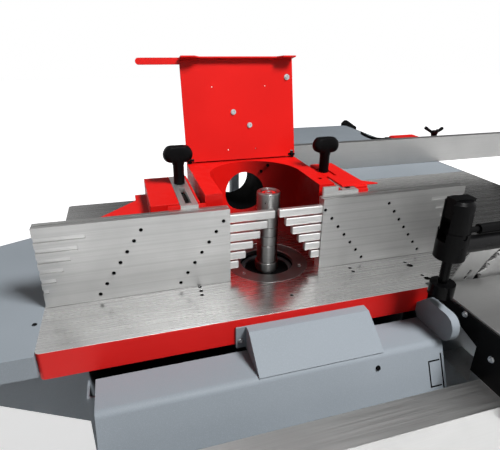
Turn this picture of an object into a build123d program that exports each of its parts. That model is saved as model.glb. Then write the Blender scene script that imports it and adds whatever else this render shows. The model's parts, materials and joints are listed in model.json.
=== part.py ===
from build123d import *
import os
from math import cos, radians, sin

# Combined saw and spindle moulder, in millimetres. The origin is on the floor under the spindle.
# +X runs along the sliding table's travel, +Z is up and -Y faces the operator.

# Fits
RUN = 0.05
SLIDE = 0.3
GLIDE = 0.5

# Cast table
TABLE_HEIGHT = 880.0
TABLE_LEFT = -424.0
TABLE_LENGTH = 1318.0
TABLE_FRONT = -179.5
TABLE_DEPTH = 620.0
TABLE_PLATE = 14.0
TABLE_SKIRT = 50.0
SKIRT_WALL = 10.0
TABLE_RIB = 12.0
TABLE_CORNER = 8.0
SAW_RECESS_START = 268.0
SAW_RECESS_DEPTH = 14.5
SPINDLE_OPENING_R = 55.0
INSERT_R = 85.0
INSERT_THICK = 8.0

# Cabinet
CABINET_LEFT = -360.0
CABINET_WIDTH = 1200.0
CABINET_FRONT = -205.0
CABINET_BACK = 420.0
CABINET_STEP = 40.0
PANEL = 4.0
PARTITION_GAP = 56.0
FRONT_PANEL_DROP = 30.0
BASE_PLATE = 8.0
BASE_MARGIN = 40.0
ANCHOR_R = 7.0
ANCHOR_INSET = 20.0

# Sheet covers on the front
SHEET = 3.0
LEDGE_LEFT = -345.0
LEDGE_LENGTH = 590.0
LEDGE_DROP = 60.0
LEDGE_SET_OFF = 8.5
LEDGE_BEND = -259.0
LEDGE_FRONT = -313.0
LEDGE_SLOPE = 116.0
LEDGE_HEIGHT = 260.0
LEDGE_FOLD_R = 14.0
WEDGE_LEFT = -98.0
WEDGE_LENGTH = 226.0
WEDGE_DROP = 15.0
WEDGE_TOP_DEPTH = 18.5
WEDGE_FLANGE = 18.0
WEDGE_FLANGE_DROP = 66.0
STOP_WIDTH = 16.5
STOP_REACH = 97.0
STOP_DROP = 7.0
STOP_NOSE_R = 24.0

# Extension tables
EXTENSION_SKIRT = 40.0
EXTENSION_SHEET = 3.0
LEFT_EXTENSION_LENGTH = 396.0
LEFT_EXTENSION_BACK = 285.0
LEFT_EXTENSION_TAPER = 189.0
LEFT_EXTENSION_FRONT = 4.5
LEFT_EXTENSION_CORNER = 25.0
GUSSET_SPREAD = 60.0
GUSSET_DROP = 240.0
REAR_EXTENSION_LEFT = 200.0
REAR_EXTENSION_DEPTH = 876.0
REAR_LEG = 40.0
REAR_LEG_INSET = 60.0

# Hood over the spindle
HOOD_HALF_WIDTH = 131.0
HOOD_FRONT = -22.0
HOOD_BACK = 205.0
HOOD_HEIGHT = 168.0
HOOD_WALL = 5.0
HOOD_CORNER = 18.0
MOUTH_R = 98.0
MOUTH_Y = 81.0
PORT_R = 50.0
PORT_HEIGHT = 95.0
PORT_MARGIN = 12.0
SPIGOT_LENGTH = 107.0
SPIGOT_WALL = 3.0

# Hood lid, drawn closed and then opened
LID_INSET = 1.0
LID_SHEET = 3.0
LID_GAP = 2.0
LID_FRONT = -27.0
LID_OPEN = 102.0
LID_TAIL = 4.0
LID_NOTCH_GAP = 1.0
LID_NOTCH_Y = 13.5
LID_LIP = 16.0
LID_EAR = 28.0
LID_EAR_WIDTH = 30.0
LID_TAB = 92.0
LID_TAB_WIDTH = 14.0
HINGE_INSET = 12.0
HINGE_RISE = 6.5
HINGE_PIN_R = 4.0
HINGE_EYE_R = 8.0
LID_EYE = 7.0
HOOD_LUG_INSET = 11.0
HOOD_LUG = 6.0

# Fence carriers and slotted bars
CARRIER_GAP = 10.0
LEFT_CARRIER_WIDTH = 89.0
RIGHT_CARRIER_WIDTH = 66.0
CARRIER_BACK = 142.0
CARRIER_HEIGHT = 156.0
CARRIER_WALL = 6.0
CARRIER_DECK = 8.0
WING_HEIGHT = 130.0
WING_THICK = 5.0
WING_STEP = 22.0
WING_BACK = 119.0
WING_BEND = 86.0
WING_REACH = 122.0
COVER_GAP = 1.0
COVER_INSET = 10.0
COVER_FRONT = -18.0
COVER_FLARE = 26.0
COVER_FLARE_START = 22.0
BAR_WALL = 5.0
BAR_WIDTH = 32.0
BAR_THICK = 10.0
BAR_SLOT_WIDTH = 11.0
BAR_SLOT_START = -24.0
BAR_SLOT_END = 64.0
BAR_TRAVEL_FORWARD = 30.0
BAR_TRAVEL_BACK = 2.0
FOOT_THICK = 6.0
FOOT_INWARD = 29.0
FOOT_OUTWARD = 38.0
FOOT_LIFT = 25.0
ADJUSTER_WIDTH = 32.0
ADJUSTER_HEIGHT = 166.0

# Knobs with a T head
KNOB_Y = 92.0
KNOB_STUD_R = 5.0
KNOB_STEM_R = 11.0
KNOB_STEM = 45.0
KNOB_HEAD_HEIGHT = 31.0
KNOB_HEAD_LENGTH = 54.0
KNOB_HEAD_WIDTH = 28.0
KNOB_HEAD_EDGE = 6.0
KNOB_NUT = 18.0
KNOB_NUT_THICK = 8.0

# Fence plates with finger bars
FENCE_FACE = -58.0
PLATE_INNER = 93.0
PLATE_LENGTH = 328.5
PLATE_HEIGHT = 150.0
PLATE_THICK = 22.0
PLATE_LIFT = 0.4
PLATE_SKIN = 4.0
PLATE_GROOVE = 3.0
PLATE_GROOVE_DEPTH = 2.0
FINGER_COUNT = 6
FINGER_SIZE = 12.0
FINGER_HEIGHT = 16.0
FINGER_PITCH = 19.25
FINGER_FIRST = 31.8
FINGER_LENGTH = 337.0
FINGER_SHORTEST_REACH = 18.0
FINGER_REACH_STEP = 14.2
FINGER_BEVEL = 2.0
WINDOW_HEIGHT = 8.0

# Spindle and its drive
SPINDLE_R = 15.0
SPINDLE_TOP = 145.0
COLLAR_R = 21.0
COLLAR_LEVELS = (5.0, 44.0, 65.0, 84.0, 112.0)
COLLAR_BEVEL = 0.8
FLANGE_R = 24.0
FLANGE_BOTTOM = -12.0
CAP_R = 23.4
CAP_LOW = 119.0
CAP_TOP = 156.0
CAP_NECK_R = 20.5
CAP_RECESS_R = 15.0
CAP_RECESS = 5.0
QUILL_R = 46.0
QUILL_BORE_R = 38.0
QUILL_DROP = 4.0
QUILL_LENGTH = 306.0
QUILL_PLATE = 10.0
QUILL_PLATE_R = 62.0
GUIDE_R = 62.0
GUIDE_LENGTH = 216.0
GUIDE_FLANGE_R = 105.0
GUIDE_FLANGE = 14.0
GUIDE_RIB = 10.0
BEARING_WIDTH = 30.0
BEARING_TOP_INSET = 12.0
BEARING_LOW_INSET = 24.0
SHAFT_R = 20.0
SHAFT_TAIL_R = 17.0
PULLEY_GAP = 11.0
PULLEY_WIDTH = 40.0
SPINDLE_PULLEY_R = 35.0
MOTOR_PULLEY_R = 60.0
MOTOR_Y = 190.0
MOTOR_R = 80.0
MOTOR_HEIGHT = 204.0
MOTOR_SHAFT_R = 12.0
MOTOR_PLATE_R = 95.0
BELT_THICK = 3.0
BELT_MARGIN = 4.5

# Handwheels on the front panel
WHEEL_Z = 440.0
WHEEL_R = 85.0
WHEEL_RIM_R = 9.0
WHEEL_STAND_OFF = 32.0
WHEEL_HUB_R = 20.0
WHEEL_HUB = 26.0
WHEEL_SHAFT_R = 10.0
WHEEL_SHAFT_END = -150.0
WHEEL_SPOKE = 16.0
WHEEL_GRIP_R = 11.0
WHEEL_GRIP = 60.0

# Saw
SAW_X = 524.0
SAW_DROP = 73.0
BLADE_Y = -172.0
BLADE_R = 157.5
BLADE_THICK = 3.2
BLADE_TEETH = 36
TOOTH_DEPTH = 9.0
ARBOR_R = 15.0
ARBOR_FRONT = -194.0
ARBOR_BACK = 58.0
ARBOR_FLANGE_R = 45.0
ARBOR_FLANGE = 9.0
ARBOR_NUT = 38.0
SAW_HOUSING_R = 38.0
SAW_HOUSING_FRONT = -150.0
SAW_HOUSING_BACK = 52.0
SAW_ROD_R = 12.0
SAW_ROD_GAP = 30.0
SAW_ROD_SPREAD = 40.0
SAW_BRACKET_DROP = 4.0
SAW_BRACKET_HEIGHT = 386.0
SAW_BRACKET_HALF = 64.0
SAW_BRACKET_PLATE = 24.0
SAW_LUG = 20.0
SLEEVE_DROP = 27.0
SLEEVE_HEIGHT = 180.0
SLEEVE_HALF = 70.0
SLEEVE_BACK = 22.0
SLEEVE_NOSE = 24.0
SAW_ARM_DROP = 7.0
SAW_ARM_HEIGHT = 56.0
SAW_ARM_Y = (-50.0, 20.0)
SAW_PLATE_Y = (20.0, 32.0)
SAW_PLATE_HEIGHT = 225.0
SAW_PLATE_END = 480.0
SAW_MOTOR_X = 400.0
SAW_MOTOR_DROP = 152.0
SAW_MOTOR_R = 70.0
SAW_MOTOR_LENGTH = 228.0
KNIFE_GAP = 5.5
KNIFE_WIDTH = 50.0
KNIFE_THICK = 2.4
KNIFE_START = 205.0
KNIFE_END = 119.0
KNIFE_CORNER = 8.0
HOLDER_GAP = 14.5
HOLDER_LENGTH = 36.0
HOLDER_DROP = 31.0
HOLDER_HEIGHT = 28.0

# Sliding table on its beam
BEAM_LEFT = -345.0
BEAM_LENGTH = 1845.0
BEAM_BACK = -318.0
BEAM_WIDTH = 60.0
BEAM_DROP = 107.0
BEAM_HEIGHT = 133.0
BEAM_WALL = 6.0
BRACKET_WIDTH = 60.0
BRACKET_CENTRES = (330.0, 770.0)
BRACKET_DROP = 38.0
BRACKET_HEIGHT = 80.0
SLIDER_LEFT = 284.6
SLIDER_LENGTH = 1250.0
SLIDER_INNER = -179.0
SLIDER_WIDTH = 300.0
SLIDER_PLATE = 14.0
SLIDER_OUTER_WALL = 20.0
SLIDER_INNER_WALL = 18.0
SLIDER_SKIRT = 33.0
SLIDER_CHAMBER = 11.0
GROOVE_Y = -440.0
GROOVE_WIDTH = 14.0
GROOVE_DEPTH = 9.0
END_CAP = 4.0
END_CAP_INSET = 6.0
END_CAP_SHOULDER = 36.0

# Eccentric clamp on the sliding table
CLAMP_X = 249.0
CLAMP_Y = -228.0
CLAMP_BODY_R = 24.0
CLAMP_LIFT = 93.0
CLAMP_BODY_HEIGHT = 105.0
CLAMP_BODY_EDGE = 5.0
CLAMP_WAIST_R = 26.0
CLAMP_WAIST = 49.0
CLAMP_BLOCK = 40.0
CLAMP_BLOCK_RISE = 73.0
CLAMP_BLOCK_HEIGHT = 35.0
CLAMP_ARM_R = 15.0
CLAMP_ARM_RISE = 19.0
CLAMP_POST_X = 640.0
CLAMP_POST_R = 17.0
CLAMP_POST_HEIGHT = 195.0
CLAMP_BASE = 80.0
CLAMP_BASE_THICK = 14.0
CLAMP_COLLAR = 54.0
PLUNGER_R = 8.5
PLUNGER_RISE = 23.0
PAD_R = 22.0
PAD_LIFT = 18.0
PAD_HEIGHT = 24.0
LEVER_RISE = 46.0
LEVER_PIN_R = 5.0
LEVER_BOSS_R = 12.0
LEVER_BOSS = 20.0
LEVER_ROD_R = 5.0
LEVER_GRIP_R = 8.5
LEVER_GRIP = 120.0
LEVER_LENGTH = 170.0

# Rip fence on its round bar
RAIL_R = 8.0
RAIL_OFFSET = 12.0
RAIL_DROP = 12.0
RAIL_FRONT = -165.0
RAIL_BACK = 1330.0
RAIL_STANDS = 6
RAIL_STAND = 20.0
RAIL_STAND_INSET = 40.0
RAIL_STAND_HEIGHT = 10.0
RAIL_STOP = 12.0
RAIL_STOP_INWARD = 30.0
RAIL_STOP_OUTWARD = 59.0
RAIL_STOP_DROP = 30.0
RAIL_STOP_RISE = 25.0
RAIL_STOP_TOP = 14.0
RIP_FACE = 575.0
RIP_LEFT = 290.0
RIP_LENGTH = 910.0
RIP_THICK = 25.0
RIP_HEIGHT = 95.0
RIP_LIFT = 0.6
RIP_LIP = 12.0
RIP_STEP = 10.0
HEAD_INWARD = 226.0
HEAD_OUTWARD = 59.0
HEAD_DEPTH = 130.0
HEAD_LIFT = 4.0
HEAD_HEIGHT = 54.0
HEAD_CORNER = 12.0
HEAD_HOOK = 28.0
HEAD_HOOK_WALL = 14.0
HOUSING_INSET = 42.0
HOUSING_LENGTH = 128.0
HOUSING_DEPTH = 80.0
HOUSING_HEIGHT = 86.0
HOUSING_EDGE = 14.0
RIP_STUD_R = 6.0
RIP_STUD = 20.0
RIP_KNOB_INSET = 37.0
RIP_KNOB_SETBACK = 65.0
RIP_KNOB_R = 14.0
RIP_KNOB_HUB = 46.0
RIP_KNOB_ARM_R = 7.0
RIP_KNOB_ARM = 46.0
RIP_KNOB_TILT = 28.0
RIP_KNOB_TURN = 5.0
HANDLE_INSET = 20.0
HANDLE_SETBACK = 40.0
HANDLE_HUB_R = 12.0
HANDLE_HUB = 34.0
HANDLE_REACH = 116.0
HANDLE_RISE = 28.0
HANDLE_SAG = 9.0
HANDLE_SIZE = 10.0

# Levels and edges that several pieces share
TABLE_RIGHT = TABLE_LEFT + TABLE_LENGTH
TABLE_BACK = TABLE_FRONT + TABLE_DEPTH
UNDER_PLATE = TABLE_HEIGHT - TABLE_PLATE
UNDER_SKIRT = TABLE_HEIGHT - TABLE_SKIRT
SAW_EDGE = TABLE_FRONT + SAW_RECESS_DEPTH
CABINET_RIGHT = CABINET_LEFT + CABINET_WIDTH
FRONT_PANEL_TOP = UNDER_SKIRT - FRONT_PANEL_DROP
LEDGE_RIGHT = LEDGE_LEFT + LEDGE_LENGTH
LEDGE_TOP = TABLE_HEIGHT - LEDGE_DROP
LEDGE_BOTTOM = LEDGE_TOP - LEDGE_HEIGHT
LEDGE_BACK = TABLE_FRONT - LEDGE_SET_OFF
HOOD_TOP = TABLE_HEIGHT + HOOD_HEIGHT
PORT_Z = TABLE_HEIGHT + PORT_HEIGHT
HINGE_Y = HOOD_BACK - HINGE_INSET
HINGE_Z = HOOD_TOP + HINGE_RISE
LID_HALF_WIDTH = HOOD_HALF_WIDTH - LID_INSET
HOOD_LUG_X = HOOD_HALF_WIDTH - HOOD_LUG_INSET
LID_EYE_X = HOOD_LUG_X - LID_NOTCH_GAP - LID_EYE
CARRIER_TOP = TABLE_HEIGHT + CARRIER_HEIGHT
CARRIER_INNER = HOOD_HALF_WIDTH + CARRIER_GAP
LEFT_CARRIER_OUTER = CARRIER_INNER + LEFT_CARRIER_WIDTH
RIGHT_CARRIER_OUTER = CARRIER_INNER + RIGHT_CARRIER_WIDTH
COVER_INNER = CARRIER_INNER + COVER_INSET
BAR_X = CARRIER_INNER + BAR_WALL + BAR_WIDTH / 2
FOOT_INNER = BAR_X - FOOT_INWARD
FOOT_OUTER = BAR_X + FOOT_OUTWARD
ADJUSTER_INNER = FOOT_INNER - ADJUSTER_WIDTH
KNOB_HEAD_LOW = CARRIER_TOP + KNOB_STEM
BAR_LOW = CARRIER_TOP - BAR_THICK
PLATE_BACK = FENCE_FACE + PLATE_THICK
PLATE_LOW = TABLE_HEIGHT + PLATE_LIFT
PLATE_TOP = TABLE_HEIGHT + PLATE_HEIGHT
SAW_Z = TABLE_HEIGHT - SAW_DROP
SAW_BRACKET_TOP = UNDER_SKIRT - SAW_BRACKET_DROP
SAW_BRACKET_LOW = SAW_BRACKET_TOP - SAW_BRACKET_HEIGHT
SLEEVE_TOP = SAW_Z - SLEEVE_DROP
SLEEVE_LOW = SLEEVE_TOP - SLEEVE_HEIGHT
SAW_ARM_TOP = SAW_Z - SAW_ARM_DROP
SAW_ARM_Z = (SAW_ARM_TOP - SAW_ARM_HEIGHT, SAW_ARM_TOP)
SAW_PLATE_Z = (SAW_ARM_TOP - SAW_PLATE_HEIGHT, SAW_ARM_TOP)
SAW_MOTOR_Z = SAW_Z - SAW_MOTOR_DROP
HOLDER_TOP = SAW_Z - HOLDER_DROP
HOLDER_Z = (HOLDER_TOP - HOLDER_HEIGHT, HOLDER_TOP)
HOLDER_RIGHT = SAW_X - BLADE_R - HOLDER_GAP
HOLDER_X = (HOLDER_RIGHT - HOLDER_LENGTH, HOLDER_RIGHT)
SAW_ROD_X = HOLDER_X[0] - SAW_ROD_GAP
SLEEVE_X = (SAW_ROD_X - SLEEVE_BACK, SAW_ROD_X + SLEEVE_NOSE)
PARTITION_X = SAW_ROD_X - PARTITION_GAP
BEAM_TOP = TABLE_HEIGHT - BEAM_DROP
BRACKET_TOP = BEAM_TOP - BRACKET_DROP
BRACKET_LOW = BRACKET_TOP - BRACKET_HEIGHT
BEAM_FRONT = BEAM_BACK - BEAM_WIDTH
SLIDER_RIGHT = SLIDER_LEFT + SLIDER_LENGTH
SLIDER_OUTER = SLIDER_INNER - SLIDER_WIDTH
QUILL_TOP = UNDER_PLATE - QUILL_DROP
QUILL_BOTTOM = QUILL_TOP - QUILL_LENGTH
GUIDE_BOTTOM = UNDER_PLATE - GUIDE_LENGTH
BEARING_TOP = QUILL_TOP - BEARING_TOP_INSET
BEARING_LOW = QUILL_BOTTOM + BEARING_LOW_INSET
PULLEY_TOP = QUILL_BOTTOM - PULLEY_GAP
PULLEY_LOW = PULLEY_TOP - PULLEY_WIDTH
CLAMP_LOW = TABLE_HEIGHT + CLAMP_LIFT
CLAMP_BODY = (CLAMP_LOW, CLAMP_LOW + CLAMP_BODY_HEIGHT)
CLAMP_WAIST_TOP = CLAMP_LOW + CLAMP_WAIST
CLAMP_BLOCK_LOW = CLAMP_LOW + CLAMP_BLOCK_RISE
CLAMP_BLOCK_Z = (CLAMP_BLOCK_LOW, CLAMP_BLOCK_LOW + CLAMP_BLOCK_HEIGHT)
CLAMP_ARM_Z = CLAMP_LOW + CLAMP_ARM_RISE
CLAMP_POST_TOP = TABLE_HEIGHT + CLAMP_POST_HEIGHT
PLUNGER_TOP = CLAMP_LOW + PLUNGER_RISE
PAD_LOW = TABLE_HEIGHT + PAD_LIFT
LEVER_Z = CLAMP_LOW + LEVER_RISE
RAIL_X = TABLE_RIGHT + RAIL_OFFSET
RAIL_Z = TABLE_HEIGHT - RAIL_DROP
RAIL_STOP_X = (RAIL_X - RAIL_STOP_INWARD, RAIL_X + RAIL_STOP_OUTWARD)
RIP_BACK = RIP_FACE + RIP_THICK
HEAD_X = (RAIL_X - HEAD_INWARD, RAIL_X + HEAD_OUTWARD)
HOUSING_LEFT = HEAD_X[0] + HOUSING_INSET
HOUSING_X = (HOUSING_LEFT, HOUSING_LEFT + HOUSING_LENGTH)
RIP_KNOB_X = HEAD_X[1] - RIP_KNOB_INSET
RIP_KNOB_Y = RIP_BACK + RIP_KNOB_SETBACK
HANDLE_X = HEAD_X[0] + HANDLE_INSET
HANDLE_Y = RIP_BACK + HANDLE_SETBACK
HEAD_TOP = TABLE_HEIGHT + HEAD_HEIGHT


def block(x, y, z):
    """Box between two limits on each axis, in either order."""
    limits = [sorted(pair) for pair in (x, y, z)]
    size = [high - low for low, high in limits]
    centre = [(low + high) / 2 for low, high in limits]
    return Pos(*centre) * Box(*size)


def rod_x(x, y, z, radius):
    low, high = sorted(x)
    return Pos((low + high) / 2, y, z) * Rot(0, 90, 0) * Cylinder(radius, high - low)


def rod_y(x, y, z, radius):
    low, high = sorted(y)
    return Pos(x, (low + high) / 2, z) * Rot(90, 0, 0) * Cylinder(radius, high - low)


def rod_z(x, y, z, radius):
    low, high = sorted(z)
    return Pos(x, y, (low + high) / 2) * Cylinder(radius, high - low)


def slab(points, z):
    """Plan outline raised between two heights."""
    outline = make_face(Polyline(*points, close=True))
    return Pos(0, 0, z[0]) * extrude(outline, z[1] - z[0], dir=(0, 0, 1))


def run_x(points, x):
    """Cross-section of (y, z) points drawn out along X."""
    section = Plane.YZ * make_face(Polyline(*points, close=True))
    return Pos(x[0], 0, 0) * extrude(section, x[1] - x[0], dir=(1, 0, 0))


def run_y(points, y):
    """Cross-section of (x, z) points drawn out along Y."""
    section = Plane.XZ * make_face(Polyline(*points, close=True))
    return Pos(0, y[0], 0) * extrude(section, y[1] - y[0], dir=(0, 1, 0))


def upright_edges(shape):
    return shape.edges().filter_by(Axis.Z)


def side_range(side, inner, outer):
    """X limits of a piece on the left (side -1) or the right (side 1)."""
    return sorted((side * inner, side * outer))


# Cabinet
def cabinet_side(x):
    front_step = CABINET_FRONT + CABINET_STEP
    outline = [
        (CABINET_FRONT, BASE_PLATE),
        (CABINET_BACK, BASE_PLATE),
        (CABINET_BACK, UNDER_SKIRT),
        (front_step, UNDER_SKIRT),
        (front_step, FRONT_PANEL_TOP),
        (CABINET_FRONT, FRONT_PANEL_TOP),
    ]
    return run_x(outline, (x - PANEL / 2, x + PANEL / 2))


def cabinet():
    left = CABINET_LEFT + PANEL / 2
    right = CABINET_RIGHT - PANEL / 2
    base_x = (CABINET_LEFT - BASE_MARGIN, CABINET_RIGHT + BASE_MARGIN)
    base_y = (CABINET_FRONT - BASE_MARGIN, CABINET_BACK + BASE_MARGIN)
    base = block(base_x, base_y, (0, BASE_PLATE))
    for x in (base_x[0] + ANCHOR_INSET, base_x[1] - ANCHOR_INSET):
        for y in (base_y[0] + ANCHOR_INSET, base_y[1] - ANCHOR_INSET):
            base -= rod_z(x, y, (0, BASE_PLATE), ANCHOR_R)
    between = ((left + PANEL / 2, PARTITION_X - PANEL / 2), (PARTITION_X + PANEL / 2, right - PANEL / 2))
    panels = []
    for bay, wheel_x in zip(between, (0, SAW_X)):
        rear = block(bay, (CABINET_BACK - PANEL, CABINET_BACK), (BASE_PLATE, UNDER_SKIRT))
        front_y = (CABINET_FRONT, CABINET_FRONT + PANEL)
        front = block(bay, front_y, (BASE_PLATE, FRONT_PANEL_TOP))
        front -= rod_y(wheel_x, front_y, WHEEL_Z, WHEEL_SHAFT_R + RUN)
        panels += [rear, front]
    return [base, cabinet_side(left), cabinet_side(PARTITION_X), cabinet_side(right), *panels]


# Cast table and its insert
def main_table():
    whole_x = (TABLE_LEFT, TABLE_RIGHT)
    whole_y = (TABLE_FRONT, TABLE_BACK)
    table = block(whole_x, whole_y, (UNDER_SKIRT, TABLE_HEIGHT))
    table = fillet(upright_edges(table), TABLE_CORNER)
    hollow_y = (TABLE_FRONT + SKIRT_WALL, TABLE_BACK - SKIRT_WALL)
    rib_lines = (CABINET_LEFT + PANEL / 2, PARTITION_X, CABINET_RIGHT - PANEL / 2)
    edges = [TABLE_LEFT + SKIRT_WALL]
    for line in rib_lines:
        edges += [line - TABLE_RIB / 2, line + TABLE_RIB / 2]
    edges.append(TABLE_RIGHT - SKIRT_WALL)
    for start, end in zip(edges[0::2], edges[1::2]):
        table -= block((start, end), hollow_y, (UNDER_SKIRT, UNDER_PLATE))
    rear_rib_y = (CABINET_BACK - PANEL / 2 - TABLE_RIB / 2, CABINET_BACK - PANEL / 2 + TABLE_RIB / 2)
    table += block((edges[0], edges[-1]), rear_rib_y, (UNDER_SKIRT, UNDER_PLATE))
    saw_x = (SAW_RECESS_START, TABLE_RIGHT)
    table -= block(saw_x, (TABLE_FRONT, SAW_EDGE), (UNDER_SKIRT, TABLE_HEIGHT))
    table -= rod_z(0, 0, (UNDER_SKIRT, TABLE_HEIGHT), SPINDLE_OPENING_R)
    table -= rod_z(0, 0, (TABLE_HEIGHT - INSERT_THICK, TABLE_HEIGHT), INSERT_R)
    return table


def table_insert_ring():
    level = (TABLE_HEIGHT - INSERT_THICK, TABLE_HEIGHT)
    return rod_z(0, 0, level, INSERT_R - SLIDE) - rod_z(0, 0, level, SPINDLE_OPENING_R)


# Sheet covers
def ledge_section(inset):
    slope_bottom = LEDGE_TOP - LEDGE_SLOPE
    return [
        (LEDGE_BACK, LEDGE_TOP - inset),
        (LEDGE_BEND + inset * 0.6, LEDGE_TOP - inset),
        (LEDGE_FRONT + inset, slope_bottom),
        (LEDGE_FRONT + inset, LEDGE_BOTTOM + inset),
        (CABINET_FRONT, LEDGE_BOTTOM + inset),
        (CABINET_FRONT, FRONT_PANEL_TOP + inset),
        (LEDGE_BACK, FRONT_PANEL_TOP + inset),
    ]


def ledge_cover():
    cover = run_x(ledge_section(0), (LEDGE_LEFT, LEDGE_RIGHT))
    front_folds = cover.edges().filter_by(Axis.X).group_by(Axis.Y)[0]
    top_fold = cover.edges().filter_by(Axis.X).group_by(Axis.Z)[-1].sort_by(Axis.Y)[0]
    cover = fillet([*front_folds, top_fold], LEDGE_FOLD_R)
    inner = run_x(ledge_section(SHEET), (LEDGE_LEFT + SHEET, LEDGE_RIGHT - SHEET))
    back_gap = block(
        (LEDGE_LEFT + SHEET, LEDGE_RIGHT - SHEET),
        (LEDGE_BACK - SHEET, LEDGE_BACK),
        (FRONT_PANEL_TOP, LEDGE_TOP - SHEET),
    )
    floor_gap = block(
        (LEDGE_LEFT + SHEET, LEDGE_RIGHT - SHEET),
        (CABINET_FRONT, LEDGE_BACK),
        (FRONT_PANEL_TOP, FRONT_PANEL_TOP + SHEET),
    )
    return cover - inner - back_gap - floor_gap


def wedge_section(inset):
    top = TABLE_HEIGHT - WEDGE_DROP - inset
    return [
        (TABLE_FRONT, top),
        (TABLE_FRONT - WEDGE_TOP_DEPTH + inset * 0.4, top),
        (LEDGE_BEND + inset * 1.8, LEDGE_TOP),
        (TABLE_FRONT, LEDGE_TOP),
    ]


def wedge_cover():
    right = WEDGE_LEFT + WEDGE_LENGTH
    cover = run_x(wedge_section(0), (WEDGE_LEFT, right))
    cover -= run_x(wedge_section(SHEET), (WEDGE_LEFT + SHEET, right - SHEET))
    flange_x = (WEDGE_LEFT - WEDGE_FLANGE, WEDGE_LEFT + SHEET)
    flange_z = (TABLE_HEIGHT - WEDGE_FLANGE_DROP + LEDGE_SET_OFF, TABLE_HEIGHT - WEDGE_DROP)
    return cover + block(flange_x, (TABLE_FRONT - SHEET, TABLE_FRONT), flange_z)


def end_bracket():
    """Rounded stop that the sliding table's end comes up against."""
    top = TABLE_HEIGHT - STOP_DROP
    nose = TABLE_FRONT - STOP_REACH
    outline = [
        (TABLE_FRONT, UNDER_SKIRT),
        (TABLE_FRONT, top - STOP_NOSE_R),
        (TABLE_FRONT - STOP_NOSE_R, top),
        (nose, top),
        (nose, LEDGE_TOP),
        (LEDGE_BACK, LEDGE_TOP),
    ]
    left = LEDGE_RIGHT + SLIDE
    bracket = run_x(outline, (left, left + STOP_WIDTH))
    nose_edges = bracket.edges().filter_by(Axis.X).group_by(Axis.Y)[0]
    return fillet(nose_edges, STOP_NOSE_R)


# Extension tables
def left_extension():
    end = TABLE_LEFT - LEFT_EXTENSION_LENGTH
    front = TABLE_FRONT - LEFT_EXTENSION_FRONT
    back_end = LEFT_EXTENSION_BACK - LEFT_EXTENSION_TAPER
    low = TABLE_HEIGHT - EXTENSION_SKIRT
    outline = [(TABLE_LEFT, front), (TABLE_LEFT, LEFT_EXTENSION_BACK), (end, back_end), (end, front)]
    tray = slab(outline, (low, TABLE_HEIGHT))
    tray = fillet(upright_edges(tray).group_by(Axis.X)[0], LEFT_EXTENSION_CORNER)
    wall = EXTENSION_SHEET
    inner = [
        (TABLE_LEFT - wall, front + wall),
        (TABLE_LEFT - wall, LEFT_EXTENSION_BACK - 2 * wall),
        (end + wall, back_end - wall),
        (end + wall, front + wall),
    ]
    hollow = slab(inner, (low, TABLE_HEIGHT - wall))
    hollow = fillet(upright_edges(hollow).group_by(Axis.X)[0], LEFT_EXTENSION_CORNER - wall)
    tray -= hollow
    gussets = []
    under = TABLE_HEIGHT - wall
    for y in (-GUSSET_SPREAD, GUSSET_SPREAD):
        shape = [
            (CABINET_LEFT, UNDER_SKIRT),
            (TABLE_LEFT - 2 * wall, UNDER_SKIRT),
            (TABLE_LEFT - 2 * wall, under),
            (end + LEFT_EXTENSION_CORNER, under),
            (end + LEFT_EXTENSION_CORNER, low),
            (CABINET_LEFT, UNDER_SKIRT - GUSSET_DROP),
        ]
        gussets.append(run_y(shape, (y - PANEL / 2, y + PANEL / 2)))
    return [tray, *gussets]


def rear_extension():
    wall = EXTENSION_SHEET
    back = TABLE_BACK + REAR_EXTENSION_DEPTH
    low = TABLE_HEIGHT - EXTENSION_SKIRT
    tray = block((REAR_EXTENSION_LEFT, TABLE_RIGHT), (TABLE_BACK, back), (low, TABLE_HEIGHT))
    tray = fillet(upright_edges(tray).group_by(Axis.Y)[-1], LEFT_EXTENSION_CORNER)
    hollow = block(
        (REAR_EXTENSION_LEFT + wall, TABLE_RIGHT - wall),
        (TABLE_BACK + wall, back - wall),
        (low, TABLE_HEIGHT - wall),
    )
    tray -= fillet(upright_edges(hollow).group_by(Axis.Y)[-1], LEFT_EXTENSION_CORNER - wall)
    leg_y = back - REAR_LEG_INSET
    legs = []
    for x in (REAR_EXTENSION_LEFT + REAR_LEG_INSET, TABLE_RIGHT - REAR_LEG_INSET):
        half = REAR_LEG / 2
        legs.append(block((x - half, x + half), (leg_y - half, leg_y + half), (0, TABLE_HEIGHT - wall)))
    return [tray, *legs]


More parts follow.
